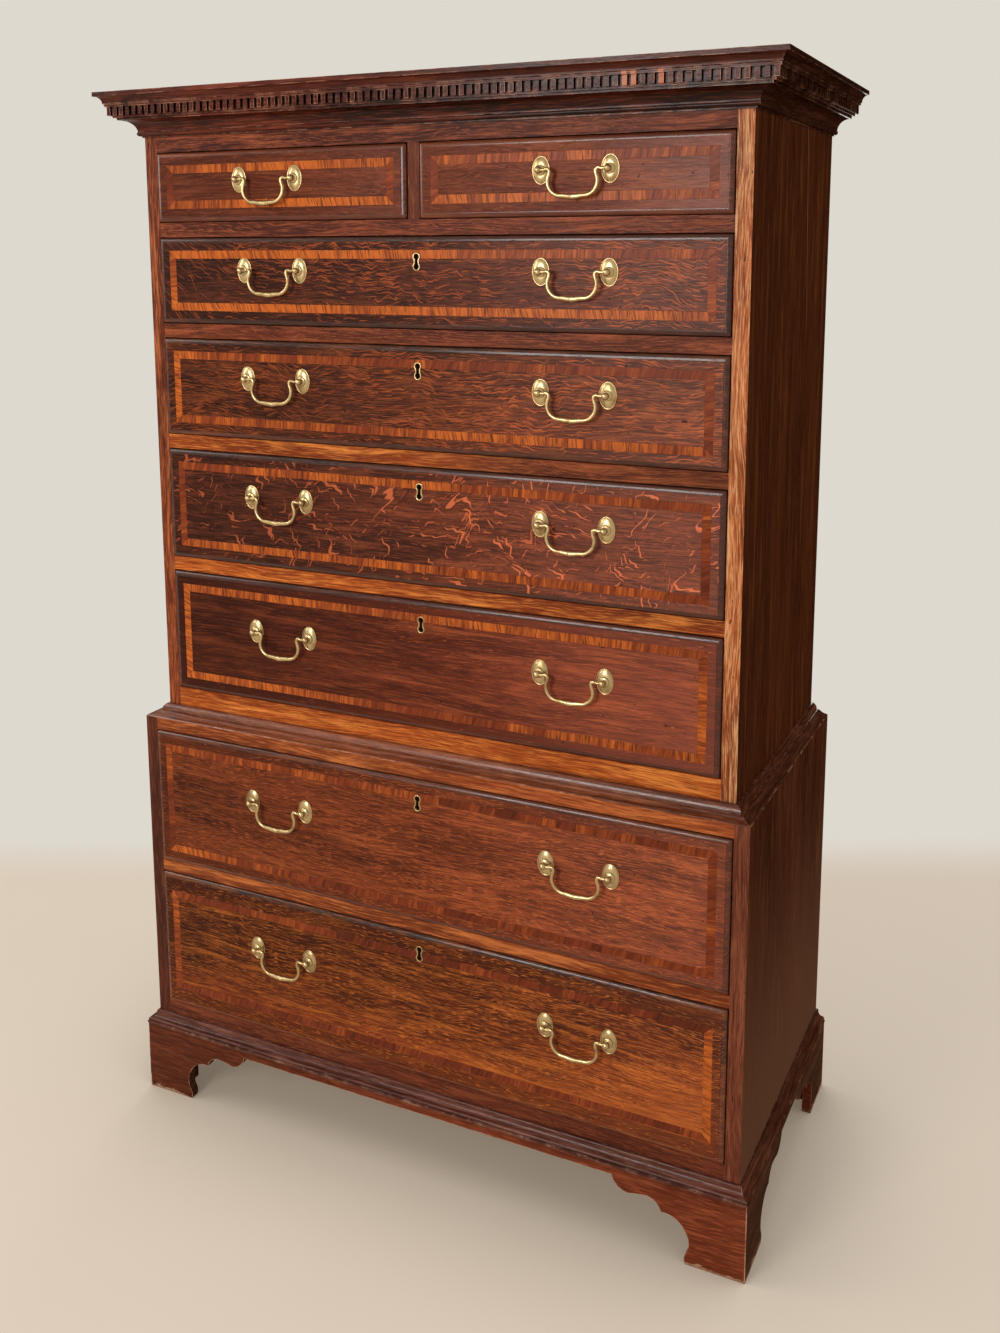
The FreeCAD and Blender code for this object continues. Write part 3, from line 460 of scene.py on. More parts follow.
def front_oak(name, look, low, high, seed):
    """The face of a drawer front: quarter-sawn oak, darker outside its crossbanding."""
    surface = Surface("front_oak_" + name)
    colour, grain, streak, pores, deep, lean = front_wood(surface, look, low, high, seed)
    dark, _, light = look["tones"]
    x, y, z = surface.xyz()
    left, right, bottom, top = band_sides(name, low.y)
    inside = x.within(left, right, 1 * MM) * z.within(bottom, top, 1 * MM)
    colour = surface.mix(colour, dark, inside.step(0.0, 1.0, look["border"], 0.0))
    colour = surface.mix(colour, light, lean.step(0.10, 0.45) * inside * 0.45)
    heights = (pores + deep) * -1.0
    for flecks in look["flecks"]:
        ribbons, beside = ray_flecks(surface, grain, **flecks["shape"])
        # the dark line beside each fleck: partly figure, partly painted shade
        colour = surface.mix(colour, dark, beside * (0.6 * flecks["strength"]))
        colour = surface.mix(colour, flecks["colour"], ribbons * flecks["strength"])
        heights = heights + ribbons * 0.3
    # painted sheen, partly faded wood: the front brightens from its left end to its right
    colour = fade_and_painted_light(low.x, high.x, *look["fade_and_sheen"])(surface, colour)
    # painted sheen, partly old polish: the right half paled towards a pinkish grey
    haze_and_sheen = x.step((low.x + high.x) / 2, high.x, 0.0, look["haze_and_sheen"])
    colour = surface.mix(colour, srgb(190, 150, 142), haze_and_sheen)
    specks = surface.noise(surface.place(), 150, 1.0).step(0.74, 0.79)
    colour = surface.mix(colour, srgb(26, 12, 8), specks * 0.8)
    rough = streak.step(0.3, 0.7, 0.28, 0.38)
    return surface.finish(colour, rough, surface.bump(heights, 0.12 * MM, 0.6), 0.08)


def edge_oak(name, look, low, high, seed):
    """The moulded edge of a drawer front, bright with old polish, and darker than the face, partly with
    old polish and partly as painted shade.
    """
    surface = Surface("front_oak_" + name + "_edge")
    colour, _, streak, pores = front_wood(surface, look, low, high, seed)[:4]
    # painted shade, partly old polish: the moulded edge darkened towards near black
    colour = surface.mix(colour, srgb(30, 16, 13), 0.30)
    rough = streak.step(0.3, 0.7, 0.14, 0.24)
    return surface.finish(colour, rough, surface.bump(pores, -0.12 * MM, 0.4), 0.42)


def crossbanding(name, axis, seed):
    """Veneer laid with its grain across the strip; each piece has its own tone, held in a layer."""
    surface = Surface(name)
    along, across, depth = surface.parts(along_grain(surface, axis, seed))
    tone = surface.value("Attribute", {}, "Fac", attribute_name="tone")
    grain = surface.join(along, across + along * (tone - 0.5) * 0.9, depth)
    stripe = surface.noise(grain, (14.0, 130.0, 60.0), 3.0, 0.65)
    streak = surface.noise(grain, (30.0, 420.0, 420.0), 3.0, 0.65)
    bright = tone + (stripe - 0.5) * (tone * 2.4 + 1.0)
    colour = surface.mix(BAND_DULL, BAND_BRIGHT, bright.step(0.0, 1.0))
    colour = surface.mix(colour, BAND_DEEP, bright.step(0.15, -0.45))
    lines = streak.step(0.50, 0.64) * tone.step(0.0, 0.6, 0.35, 0.75)
    colour = surface.mix(colour, BAND_DEEP, lines)
    rough = streak.step(0.3, 0.7, 0.26, 0.36)
    return surface.finish(colour, rough, surface.bump(streak, -0.05 * MM, 0.5), 0.10)


def pine(name, axis, tone, dark, seed, board=None):
    """Unfinished aged softwood or oak lining: matt, with plain long grain and dust.

    board is how wide the boards are, where several stand side by side."""
    surface = Surface(name)
    grain = along_grain(surface, axis, seed)
    joint = 0.0
    if board is not None:
        place = surface.xyz()[0].math("DIVIDE", board)
        number = place.math("FLOOR")
        shift = surface.join(number * 3.1, number * 1.7, 0.0)
        grain = surface.value("VectorMath", {0: grain, 1: shift}, operation="ADD")
        off = (place.math("FRACT") - 0.5).math("ABSOLUTE")
        joint = off.step(0.5 - 2.0 * MM / board, 0.5 - 1.2 * MM / board)
    along, across, depth = surface.parts(grain)
    swing = surface.noise(grain, (1.5, 5.0, 5.0), 2.0)
    wavy = surface.join(along, across + swing * 0.05, depth)
    rings = surface.noise(wavy, (2.0, 120.0, 60.0), 3.0, 0.6)
    fine = surface.noise(grain, (30.0, 900.0, 900.0), 3.0, 0.6)
    stains = surface.noise(grain, 6, 4.0, 0.65)
    colour = surface.mix(tone, dark, rings.step(0.38, 0.66))
    colour = surface.mix(colour, dark, fine.step(0.55, 0.75) * 0.35)
    colour = surface.mix(colour, dark, stains.step(0.5, 0.8) * 0.5)
    colour = surface.mix(colour, srgb(26, 18, 12), joint)
    return surface.finish(colour, 0.72, surface.bump(fine, 0.15 * MM, 0.5), 0.2)


def brass(name):
    """Old lacquered brass: bright on the high spots, brown in the hollows, partly as patina and partly
    as painted shade.
    """
    surface = Surface(name)
    cloud = surface.noise(surface.place(), 60, 3.0, 0.5)
    colour = surface.mix(srgb(200, 175, 128), srgb(150, 122, 80), cloud.step(0.45, 0.80))
    # painted shade, partly patina: brown where the brass is enclosed within 4 mm
    hollow_patina_and_shade = surface.openness(4 * MM).step(0.25, 0.95, 1.0, 0.0)
    colour = surface.mix(colour, srgb(50, 33, 17), hollow_patina_and_shade)
    return surface.finish(colour, cloud.step(0.3, 0.7, 0.26, 0.34), metal=1.0)


def iron(name):
    surface = Surface(name)
    cloud = surface.noise(surface.place(), 120, 4.0, 0.65)
    colour = surface.mix(srgb(96, 88, 80), srgb(58, 40, 28), cloud.step(0.4, 0.7))
    return surface.finish(colour, 0.45, surface.bump(cloud, 0.1 * MM, 0.4), metal=0.9)


# ---------------------------------------------------------------- meshes
def shade(mesh, angle=35):
    """Smooth shading, with creases where faces meet at more than the angle."""
    if "custom_normal" in mesh.attributes:
        mesh.attributes.remove(mesh.attributes["custom_normal"])
    for face in mesh.polygons:
        face.use_smooth = True
    mesh.set_sharp_from_angle(angle=math.radians(angle))


def from_bmesh(name, bm, materials, angle=35):
    """A new object of the bmesh, which is used up."""
    bmesh.ops.recalc_face_normals(bm, faces=bm.faces)
    mesh = bpy.data.meshes.new(name)
    bm.to_mesh(mesh)
    bm.free()
    shade(mesh, angle)
    for material in materials:
        mesh.materials.append(material)
    piece = bpy.data.objects.new(name, mesh)
    bpy.context.scene.collection.objects.link(piece)
    return piece


def bevelled(piece, width, segments=2):
    bevel = piece.modifiers.new("worn_edges", "BEVEL")
    bevel.width = width
    bevel.segments = segments
    bevel.limit_method = "ANGLE"
    bevel.angle_limit = math.radians(40)
    bevel.harden_normals = False


def widest_solid(node):
    """The solid of a CAD node that is widest from left to right, as a bmesh."""
    bm = bmesh.new()
    bm.from_mesh(frame["nodes"][node].data)
    bmesh.ops.remove_doubles(bm, verts=bm.verts, dist=0.001 * MM)
    unseen = set(bm.verts)
    groups = []
    while unseen:
        stack = [unseen.pop()]
        group = set(stack)
        while stack:
            beside = {vert for edge in stack.pop().link_edges for vert in edge.verts} & unseen
            unseen -= beside
            group |= beside
            stack += beside
        groups.append(group)

    def width(group):
        across = [vert.co.x for vert in group]
        return max(across) - min(across)
    widest = max(groups, key=width)
    bmesh.ops.delete(bm, geom=[vert for vert in bm.verts if vert not in widest], context="VERTS")
    return bm


def skin(bm, rings, closed_ends=True):
    """Quads between rings of as many points each, with a face on the first and last ring."""
    loops = [[bm.verts.new(point) for point in ring] for ring in rings]
    count = len(loops[0])
    for loop, following in zip(loops, loops[1:]):
        for here in range(count):
            after = (here + 1) % count
            bm.faces.new((loop[here], loop[after], following[after], following[here]))
    if closed_ends:
        bm.faces.new(loops[0])
        bm.faces.new(loops[-1][::-1])


def cut(piece, cutter):
    """The piece cut by the cutter, which is used up."""
    change = piece.modifiers.new("cut", "BOOLEAN")
    change.object = cutter
    change.operation = "DIFFERENCE"
    change.solver = "EXACT"
    bpy.context.view_layer.update()
    depsgraph = bpy.context.evaluated_depsgraph_get()
    mesh = bpy.data.meshes.new_from_object(piece.evaluated_get(depsgraph))
    shade(mesh)
    piece.modifiers.remove(change)
    piece.data = mesh
    bpy.data.objects.remove(cutter)


# ---------------------------------------------------------------- drawer fronts
def rounded_rectangle(sides, y, radius=SHARP_RADIUS):
    """A ring of points in the plane of the fronts; sides are (left, right, bottom, top)."""
    left, right, bottom, top = sides
    corners = [(right - radius, bottom + radius, -90), (right - radius, top - radius, 0),
               (left + radius, top - radius, 90), (left + radius, bottom + radius, 180)]
    points = []
    for x, z, start in corners:
        for step in range(CORNER_STEPS + 1):
            angle = math.radians(start + 90 * step / CORNER_STEPS)
            points.append((x + radius * math.cos(angle), y, z + radius * math.sin(angle)))
    return points


def inset_sides(sides, inset):
    left, right, bottom, top = sides
    return left + inset, right - inset, bottom + inset, top - inset


def band_sides(name, face):
    """Outer edge of a front's crossbanding, read from the groove that the front has for it."""
    floor = [vert.co for vert in frame["nodes"][name + "_front"].data.vertices
             if abs(vert.co.y - face - BAND_DEPTH) < 0.01 * MM]
    across = [place.x for place in floor]
    up = [place.z for place in floor]
    return min(across), max(across), min(up), max(up)


def front_blank(name, low, high):
    """The board: thumb-moulded round its edge, and grooved for the crossbanding."""
    sides = (low.x, high.x, low.z, high.z)
    banded = band_sides(name, low.y)
    profile = [(TAIL_SHOWS, FRONT_THICKNESS), (TAIL_SHOWS, EDGE_FALL + 0.1 * MM)]
    thumb = EDGE_WIDTH - QUIRK_WIDTH
    for step in range(EDGE_STEPS + 1):
        angle = math.pi / 2 * step / EDGE_STEPS
        profile.append((thumb * (1 - math.cos(angle)),
                        QUIRK_DEPTH + (EDGE_FALL - QUIRK_DEPTH) * (1 - math.sin(angle))))
    profile += [(EDGE_WIDTH, QUIRK_DEPTH), (EDGE_WIDTH, QUIRK_CHAMFER),
                (EDGE_WIDTH + QUIRK_CHAMFER, 0)]
    rings = []
    for inset, fall in profile:
        radius = max(SHARP_RADIUS, CORNER_RADIUS * (1 - inset / EDGE_WIDTH))
        rings.append(rounded_rectangle(inset_sides(sides, inset), low.y + fall, radius))
    for inset, fall in ((0, 0), (0, BAND_DEPTH), (BAND_WIDTH, BAND_DEPTH), (BAND_WIDTH, 0)):
        rings.append(rounded_rectangle(inset_sides(banded, inset), low.y + fall))
    bm = bmesh.new()
    skin(bm, rings)
    for face in bm.faces:
        middle = face.calc_center_median()
        inset = min(middle.x - low.x, high.x - middle.x, middle.z - low.z, high.z - middle.z)
        if middle.y - low.y > EDGE_FALL:
            face.material_index = RAW_OAK
        elif inset < EDGE_WIDTH and middle.y - low.y > 0.05 * MM:
            face.material_index = EDGE_OAK
    return bm


def prism(bm, outline, y0, y1):
    """A closed solid between two copies of an outline of (x, z) points."""
    skin(bm, [[(x, y0, z) for x, z in outline], [(x, y1, z) for x, z in outline]])


def saw_cuts(start, end, draw):
    """Places of the joints between a strip's pieces; those with a mitred end are longer."""
    mitred = BAND_WIDTH + BAND_PIECE_MIN
    cuts = [start, start + mitred]
    while cuts[-1] < end - mitred - BAND_PIECE_MAX:
        cuts.append(cuts[-1] + draw.uniform(BAND_PIECE_MIN, BAND_PIECE_MAX))
    return cuts + [end]


def along_list(values, share):
    """The value at a share of the way along evenly spaced values."""
    place = share * (len(values) - 1)
    first = min(int(place), len(values) - 2)
    return values[first] + (values[first + 1] - values[first]) * (place - first)


def band_pieces(bm, sides, face, draw, tones):
    """Four mitred strips sawn into short pieces of veneer, with a tone for each."""
    tone_layer = bm.faces.layers.float.new("tone")
    left, right, bottom, top = sides
    strips = [(left, right, lambda along, out: (along, bottom + out)),
              (left, right, lambda along, out: (along, top - out)),
              (bottom, top, lambda along, out: (left + out, along)),
              (bottom, top, lambda along, out: (right - out, along))]
    for number, (start, end, place) in enumerate(strips):
        cuts = saw_cuts(start, end, draw)
        for here, there in zip(cuts, cuts[1:]):
            first = here + BAND_GAP / 2
            last = there - BAND_GAP / 2
            outline = [place(first, BAND_GAP), place(last, BAND_GAP),
                       place(min(last, end - BAND_WIDTH), BAND_WIDTH - BAND_GAP),
                       place(max(first, start + BAND_WIDTH), BAND_WIDTH - BAND_GAP)]
            rise = draw.uniform(-0.03, 0.05) * MM
            known = set(bm.faces)
            prism(bm, outline, face - rise, face + BAND_DEPTH)
            share = ((here + there) / 2 - start) / (end - start)
            tone = along_list(tones[number], share) + draw.uniform(-0.2, 0.2)
            for made in set(bm.faces) - known:
                made[tone_layer] = tone
                made.material_index = number // 2


def keyhole_cutter(x, z, low_y, high_y):
    bm = bmesh.new()
    prism(bm, [(x + px, z + pz) for px, pz in lobes(0.05 * MM)], low_y, high_y)
    return from_bmesh("keyhole_cutter", bm, [])


def box_mesh(bm, low, high):
    x0, y0, z0 = low
    x1, y1, z1 = high
    prism(bm, [(x0, z0), (x1, z0), (x1, z1), (x0, z1)], y0, y1)


# ---------------------------------------------------------------- brasses
def oval_ring(x, z, y, half_width, half_height):
    points = []
    for step in range(ROSE_STEPS):
        angle = 2 * math.pi * step / ROSE_STEPS
        points.append((x + half_width * math.cos(angle), y, z + half_height * math.sin(angle)))
    return points


ROSE_PROFILE = [               # (inside the rim, off the drawer face), millimetres
    (0, 0), (0, 0.8), (0.3, 1.2), (0.9, 1.35), (1.4, 1.2), (1.75, 0.9), (2.2, 1.15), (3.0, 1.8),
    (4.1, 2.5), (5.4, 3.1), (6.8, 3.55), (8.2, 3.8),
]
POST_PROFILE = [               # (radius, off the drawer face), millimetres
    (6.6, 3.2), (7.7, 3.7), (8.0, 4.3), (7.8, 4.9), (6.8, 5.6), (5.4, 6.0), (4.4, 6.5), (3.9, 7.2),
]
BALL_RADIUS = 5.5              # millimetres
BALL_TIP = 0.15                # millimetres, the flat left at the end of the ball
BALL_START = -52               # degrees round the ball, where it grows out of its neck
BALL_STEPS = 12


def rose(bm, x, z, face):
    rings = []
    for inset, out in ROSE_PROFILE:
        # the crown is rounder than the rim, so the height shrinks faster than the width
        crown = inset / ROSE_PROFILE[-1][0]
        rings.append(oval_ring(x, z, face - out * MM, ROSE_HALF_WIDTH - inset * MM,
                               ROSE_HALF_HEIGHT - (1 + 0.55 * crown) * inset * MM))
    skin(bm, rings)


def post(bm, x, z, face):
    profile = list(POST_PROFILE)
    for step in range(1, BALL_STEPS + 1):
        angle = math.radians(BALL_START + (90 - BALL_START) * step / BALL_STEPS)
        profile.append((max(BALL_RADIUS * math.cos(angle), BALL_TIP),
                        PIVOT_REACH / MM + BALL_RADIUS * math.sin(angle)))
    skin(bm, [oval_ring(x, z, face - out * MM, radius * MM, radius * MM) for radius, out in profile])


def nut(bm, x, z, back):
    """A square nut on the end of a post's shank, behind the front."""
    half = NUT_WIDTH / 2
    box_mesh(bm, (x - half, back, z - half), (x + half, back + NUT_THICKNESS, z + half))
    skin(bm, [oval_ring(x, z, back + out, SHANK_RADIUS, SHANK_RADIUS)
              for out in (NUT_THICKNESS - 1 * MM, SHANK_STANDOUT)])


def bail_line():
    """Points of the swan neck from the right post's pin to the left one, about the pivot."""
    x = POST_SPAN / 2 + PIN_OVERRUN
    z = 0.0
    heading = math.pi
    points = [(x, z)]
    arch_width = RISE_RADIUS * math.sin(ARCH_TURN) + ARCH_RADIUS * (1 + math.sin(ARCH_TURN))
    arch_fall = ARCH_RADIUS * math.cos(ARCH_TURN) - RISE_RADIUS * (1 - math.cos(ARCH_TURN))
    bends_fall = FLARE_RADIUS * math.sin(FLARE) + BEND_RADIUS * (1 + math.sin(FLARE))
    moves = [PIN_OVERRUN + NECK_INSET - arch_width, (RISE_RADIUS, -ARCH_TURN),
             (ARCH_RADIUS, ARCH_TURN + math.pi / 2), GRIP_DROP - arch_fall - bends_fall,
             (FLARE_RADIUS, FLARE), (BEND_RADIUS, -FLARE - math.pi / 2)]
    for move in moves:
        if isinstance(move, tuple):
            radius, turn = move
            steps = max(4, round(abs(turn) / BEND_STEP))
            for _ in range(steps):
                part = turn / steps
                chord = 2 * radius * math.sin(abs(part) / 2)
                heading += part / 2
                x += chord * math.cos(heading)
                z += chord * math.sin(heading)
                heading += part / 2
                points.append((x, z))
        else:
            x += move * math.cos(heading)
            z += move * math.sin(heading)
            points.append((x, z))
    end = x
    for step in range(1, GRIP_STEPS // 2 + 1):
        x = end * (1 - 2 * step / GRIP_STEPS)
        points.append((x, z - GRIP_BOW * (1 + math.cos(math.pi * x / end)) / 2))
    return points + [(-px, pz) for px, pz in reversed(points[:-1])]


def bail_radius(x, z):
    """The wire is thin in its posts and swells towards the middle, where it has a soft ridge."""
    if z > -ARCH_RADIUS:
        share = (POST_SPAN / 2 - abs(x)) / NECK_INSET
        return PIN_RADIUS + (WIRE_RADIUS - PIN_RADIUS) * min(1.0, max(0.0, share))
    reach = POST_SPAN / 2 - NECK_INSET
    swell = max(0.0, math.cos(math.pi / 2 * abs(x) / reach)) ** 2.2
    swell *= min(1.0, -z / GRIP_DROP) ** 2
    ridge = max(0.0, 1 - abs(x) / RIDGE_HALF_WIDTH) ** 1.5 * RIDGE_HEIGHT
    return WIRE_RADIUS + (GRIP_RADIUS - WIRE_RADIUS) * swell + ridge


def tube(bm, line, radius_at):
    """A round wire along a line of (x, z) points."""
    rings = []
    for place, (x, z) in enumerate(line):
        before = line[max(0, place - 1)]
        after = line[min(len(line) - 1, place + 1)]
        tangent = Vector((after[0] - before[0], 0, after[1] - before[1])).normalized()
        side = Vector((-tangent.z, 0, tangent.x))
        radius = radius_at(x, z)
        ring = []
        for step in range(WIRE_SIDES):
            angle = 2 * math.pi * step / WIRE_SIDES
            ring.append(Vector((x, 0, z)) + side * (radius * math.cos(angle))
                        + Vector((0, 1, 0)) * (radius * math.sin(angle)))
        rings.append(ring)
    skin(bm, rings)


def lobes(inset):
    """A keyhole's figure of eight about its middle, drawn in by inset."""
    radius = LOBE_RADIUS - inset
    waist = WAIST_WIDTH / 2 - inset
    lean = math.asin(waist / radius)
    points = []
    for centre, turn in ((LOBE_SPACING / 2, -90), (-LOBE_SPACING / 2, 90)):
        first = math.radians(turn) + lean
        sweep = 2 * math.pi - 2 * lean
        for step in range(LOBE_STEPS + 1):
            angle = first + sweep * step / LOBE_STEPS
            points.append((radius * math.cos(angle), centre + radius * math.sin(angle)))
    return points


ESCUTCHEON_PROFILE = [         # (inside the outline, off the drawer face), millimetres
    (0, -3.9), (0, 0.15), (0.3, 0.5), (1.0, 0.65), (1.65, 0.5), (2.0, 0.15), (2.0, -3.9),
]


def escutcheon(bm, x, z, face):
    rings = []
    for inset, out in ESCUTCHEON_PROFILE:
        rings.append([(x + px, face - out * MM, z + pz) for px, pz in lobes(inset * MM)])
    skin(bm, rings + rings[:1], closed_ends=False)
    bmesh.ops.remove_doubles(bm, verts=bm.verts, dist=0.002 * MM)


# ---------------------------------------------------------------- finishes
def tones(*colours):
    """Dark, middle and light colours of a board, from display values."""
    return [srgb(*colour) for colour in colours]


def fleck(length, thickness, share, slope, strength, colour, fan=0.0, turn=0.0):
    shape = {"length": length * MM, "thickness": thickness * MM, "share": share, "slope": slope,
             "fan": fan, "turn": math.radians(turn)}
    return {"shape": shape, "strength": strength, "colour": srgb(*colour)}


# How each front was cut and has aged, and the painted light on it. lean is how much lighter it grows to
# the right and upwards, fade_and_sheen its brightness at the left and right ends, partly faded wood and
# partly painted sheen, border how dark it is outside the crossbanding, and haze_and_sheen how much its
# right end is paled, partly by old polish and partly by painted sheen. bands has tones from one end to
# the other of the bottom, top, left and right strips of crossbanding, from 0, dark red-brown, to 1,
# bright orange.
RED_OAK = tones((82, 34, 20), (124, 58, 34), (160, 84, 48))
FINE_FLECKS = fleck(16, 1.7, 0.7, 0.25, 0.50, (176, 92, 56))
LOOKS = {
    "drawer_1_left": {
        "tones": RED_OAK, "contrast": 0.8, "dashes": 0.35, "lean": (0.05, 0.0), "fade_and_sheen": (0.62, 0.85),
        "border": 0.2, "haze_and_sheen": 0.04,
        "flecks": [FINE_FLECKS],
        "bands": ((0.30, 0.30, 0.95, 0.90, 0.55), (0.45, 0.45, 0.70, 0.60, 0.30),
                  (-0.05, -0.05), (0.10, 0.10))},
    "drawer_1_right": {
        "tones": RED_OAK, "contrast": 0.8, "dashes": 0.35, "lean": (0.0, 0.0), "fade_and_sheen": (0.8, 1.05),
        "border": 0.2, "haze_and_sheen": 0.22,
        "flecks": [FINE_FLECKS],
        "bands": ((0.60, 0.75, 0.30, 0.40, 0.55), (0.45, 0.35, 0.45, 0.20, 0.25),
                  (0.0, 0.0), (0.22, 0.22))},
    "drawer_2": {
        "tones": tones((58, 28, 19), (90, 44, 29), (124, 64, 40)), "contrast": 0.9, "dashes": 0.6,
        "lean": (0.06, 0.0), "fade_and_sheen": (0.65, 1.25), "border": 0.3, "haze_and_sheen": 0.10,
        "flecks": [fleck(24, 1.7, 1.0, 0.35, 0.70, (178, 88, 48), fan=2.2),
                   fleck(30, 2.6, 0.45, 0.9, 0.70, (190, 92, 44), fan=2.2)],
        "bands": ((0.85, 1.00, 0.75, 0.75, 0.65, 0.60, 0.50), (0.80, 0.90, 0.75, 0.60, 0.25, 0.25, 0.10),
                  (0.55, 0.45), (0.18, 0.18))},
    "drawer_3": {
        "tones": tones((62, 29, 18), (100, 48, 28), (144, 76, 42)), "contrast": 1.0, "dashes": 0.6,
        "lean": (0.08, -0.06), "fade_and_sheen": (0.65, 1.4), "border": 0.3, "haze_and_sheen": 0.08,
        "flecks": [fleck(24, 1.7, 1.2, 0.30, 0.60, (184, 90, 46)),
                   fleck(28, 2.4, 0.5, 0.7, 0.55, (190, 94, 46))],
        "bands": ((0.30, 0.35, 0.30, 0.55, 0.70, 0.50, 0.30), (0.80, 0.20, 0.35, 0.20, 0.20, 0.15, 0.10),
                  (0.45, 0.95), (0.10, 0.15))},
    "drawer_4": {
        "tones": tones((56, 26, 17), (92, 44, 28), (126, 64, 40)), "contrast": 0.9, "dashes": 0.55,
        "lean": (0.10, 0.0), "fade_and_sheen": (0.85, 1.95), "border": 0.2, "haze_and_sheen": 0.08,
        "flecks": [fleck(18, 1.8, 0.3, 0.5, 0.50, (160, 78, 46)),
                   fleck(26, 4.6, 0.45, 1.1, 0.70, (172, 84, 50), turn=-28),
                   fleck(38, 6.5, 0.45, 1.6, 0.80, (184, 94, 58), turn=62)],
        "bands": ((0.40, 0.55, 0.45, 0.40, 0.40, 0.30), (0.20, 0.45, 0.55, 0.30, 0.35, 0.20),
                  (0.10, 0.15), (0.10, 0.15))},
    "drawer_5": {
        "tones": tones((68, 27, 16), (102, 46, 28), (146, 72, 40)), "contrast": 0.8, "dashes": 0.35,
        "lean": (0.14, -0.08), "fade_and_sheen": (0.68, 2.1), "border": 0.65, "haze_and_sheen": 0.06,
        "flecks": [fleck(16, 1.6, 0.3, 0.2, 0.40, (166, 80, 46))],
        "bands": ((0.55, 0.65, 0.25, 0.20, 0.40, 0.40), (0.40, 0.60, 0.30, 0.60, 0.50, 0.40),
                  (0.75, 0.70), (0.50, 0.45))},
    "drawer_6": {
        "tones": tones((74, 32, 18), (122, 57, 31), (174, 90, 48)), "contrast": 0.6, "dashes": 0.5,
        "lean": (0.0, -0.05), "fade_and_sheen": (0.85, 1.7), "border": 0.5, "haze_and_sheen": 0.06,
        "flecks": [fleck(14, 1.6, 0.9, 0.3, 0.45, (190, 98, 52))],
        "bands": ((0.80, 0.15, 0.05, 0.10, 0.05, 0.10), (0.15, 0.30, 0.30, 0.05, 0.10, 0.10),
                  (0.05, 0.20), (0.25, 0.15))},
    "drawer_7": {
        "tones": tones((70, 30, 15), (134, 62, 30), (208, 114, 46)), "contrast": 0.6, "dashes": 0.5,
        "lean": (0.14, -0.26), "fade_and_sheen": (0.95, 1.3), "border": 0.6, "haze_and_sheen": 0.02,
        "flecks": [fleck(14, 1.6, 0.8, 0.3, 0.50, (214, 120, 54))],
        "bands": ((0.05, 0.10, 0.0, 0.05, 0.10), (0.10, 0.05, 0.0, 0.05, 0.05),
                  (0.30, 0.35), (0.80, 0.65))},
}
BAND_BRIGHT = srgb(206, 106, 42)
BAND_DULL = srgb(128, 56, 30)
BAND_DEEP = srgb(58, 24, 14)

# Where the rails' orange wood gives way to red-brown: over the upper drawers, at the right under
# them, and under the lowest drawer.
RED_TOP_HEIGHTS = (1.28, 1.42)
RED_RIGHT_HEIGHTS = (1.10, 1.18)
RED_RIGHT_PLACES = (-0.05, 0.20)
RED_FOOT_HEIGHTS = (0.188, 0.178)

UPPER_HALF_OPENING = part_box("drawer_2_front")[1].x + FRONT_GAP
LOWER_HALF_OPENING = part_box("drawer_7_front")[1].x + FRONT_GAP
LEFT_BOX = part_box("drawer_1_left_front")
RIGHT_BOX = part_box("drawer_1_right_front")
MUNTIN = (Vector((LEFT_BOX[1].x + FRONT_GAP, 0, LEFT_BOX[0].z)),
          Vector((RIGHT_BOX[0].x - FRONT_GAP, 0, LEFT_BOX[1].z)))

UPPER_SIDE_OAK = oak("upper_side_oak", "ZY", tones((60, 30, 16), (80, 41, 22), (112, 62, 34)), 1,
                     0.9, gloss=0.6, shine=0.0,
                     marks=[crack((0.0945, 1.72), (0.1265, 1.426), srgb(150, 102, 74))])
# painted reflection of the floor: the lower sides pale from 0.70 m down
LOWER_SIDE_OAK = oak("lower_side_oak", "ZY", tones((60, 31, 18), (82, 44, 26), (112, 66, 42)), 2,
                     0.9, gloss=0.55, shine=0.0, marks=[painted_floor_reflection(0.70, srgb(118, 82, 62))])
UPPER_FRAME_OAK = frame_oak(
    "upper_frame_oak", UPPER_HALF_OPENING, 5,
    rail_tones=tones((112, 44, 18), (184, 88, 34), (236, 142, 64)),
    red_tones=tones((64, 26, 16), (112, 50, 29), (168, 88, 54)),
    left_tones=tones((84, 34, 18), (142, 66, 35), (200, 114, 66)),
    right_tones=tones((100, 40, 20), (212, 120, 66), (255, 194, 136)), muntin=MUNTIN)
LOWER_FRAME_OAK = frame_oak(
    "lower_frame_oak", LOWER_HALF_OPENING, 8,
    rail_tones=tones((112, 50, 25), (170, 84, 42), (216, 126, 66)),
    red_tones=tones((76, 34, 22), (116, 54, 34), (150, 78, 48)),
    left_tones=tones((64, 29, 19), (92, 43, 28), (124, 64, 42)),
    right_tones=tones((80, 38, 25), (118, 60, 40), (156, 92, 64)))
RENEWED_DENTILS = renewed((0.3481, 0.3612, 0.4006), 7.8 * MM, 1.757, 1.7765, srgb(206, 118, 74))
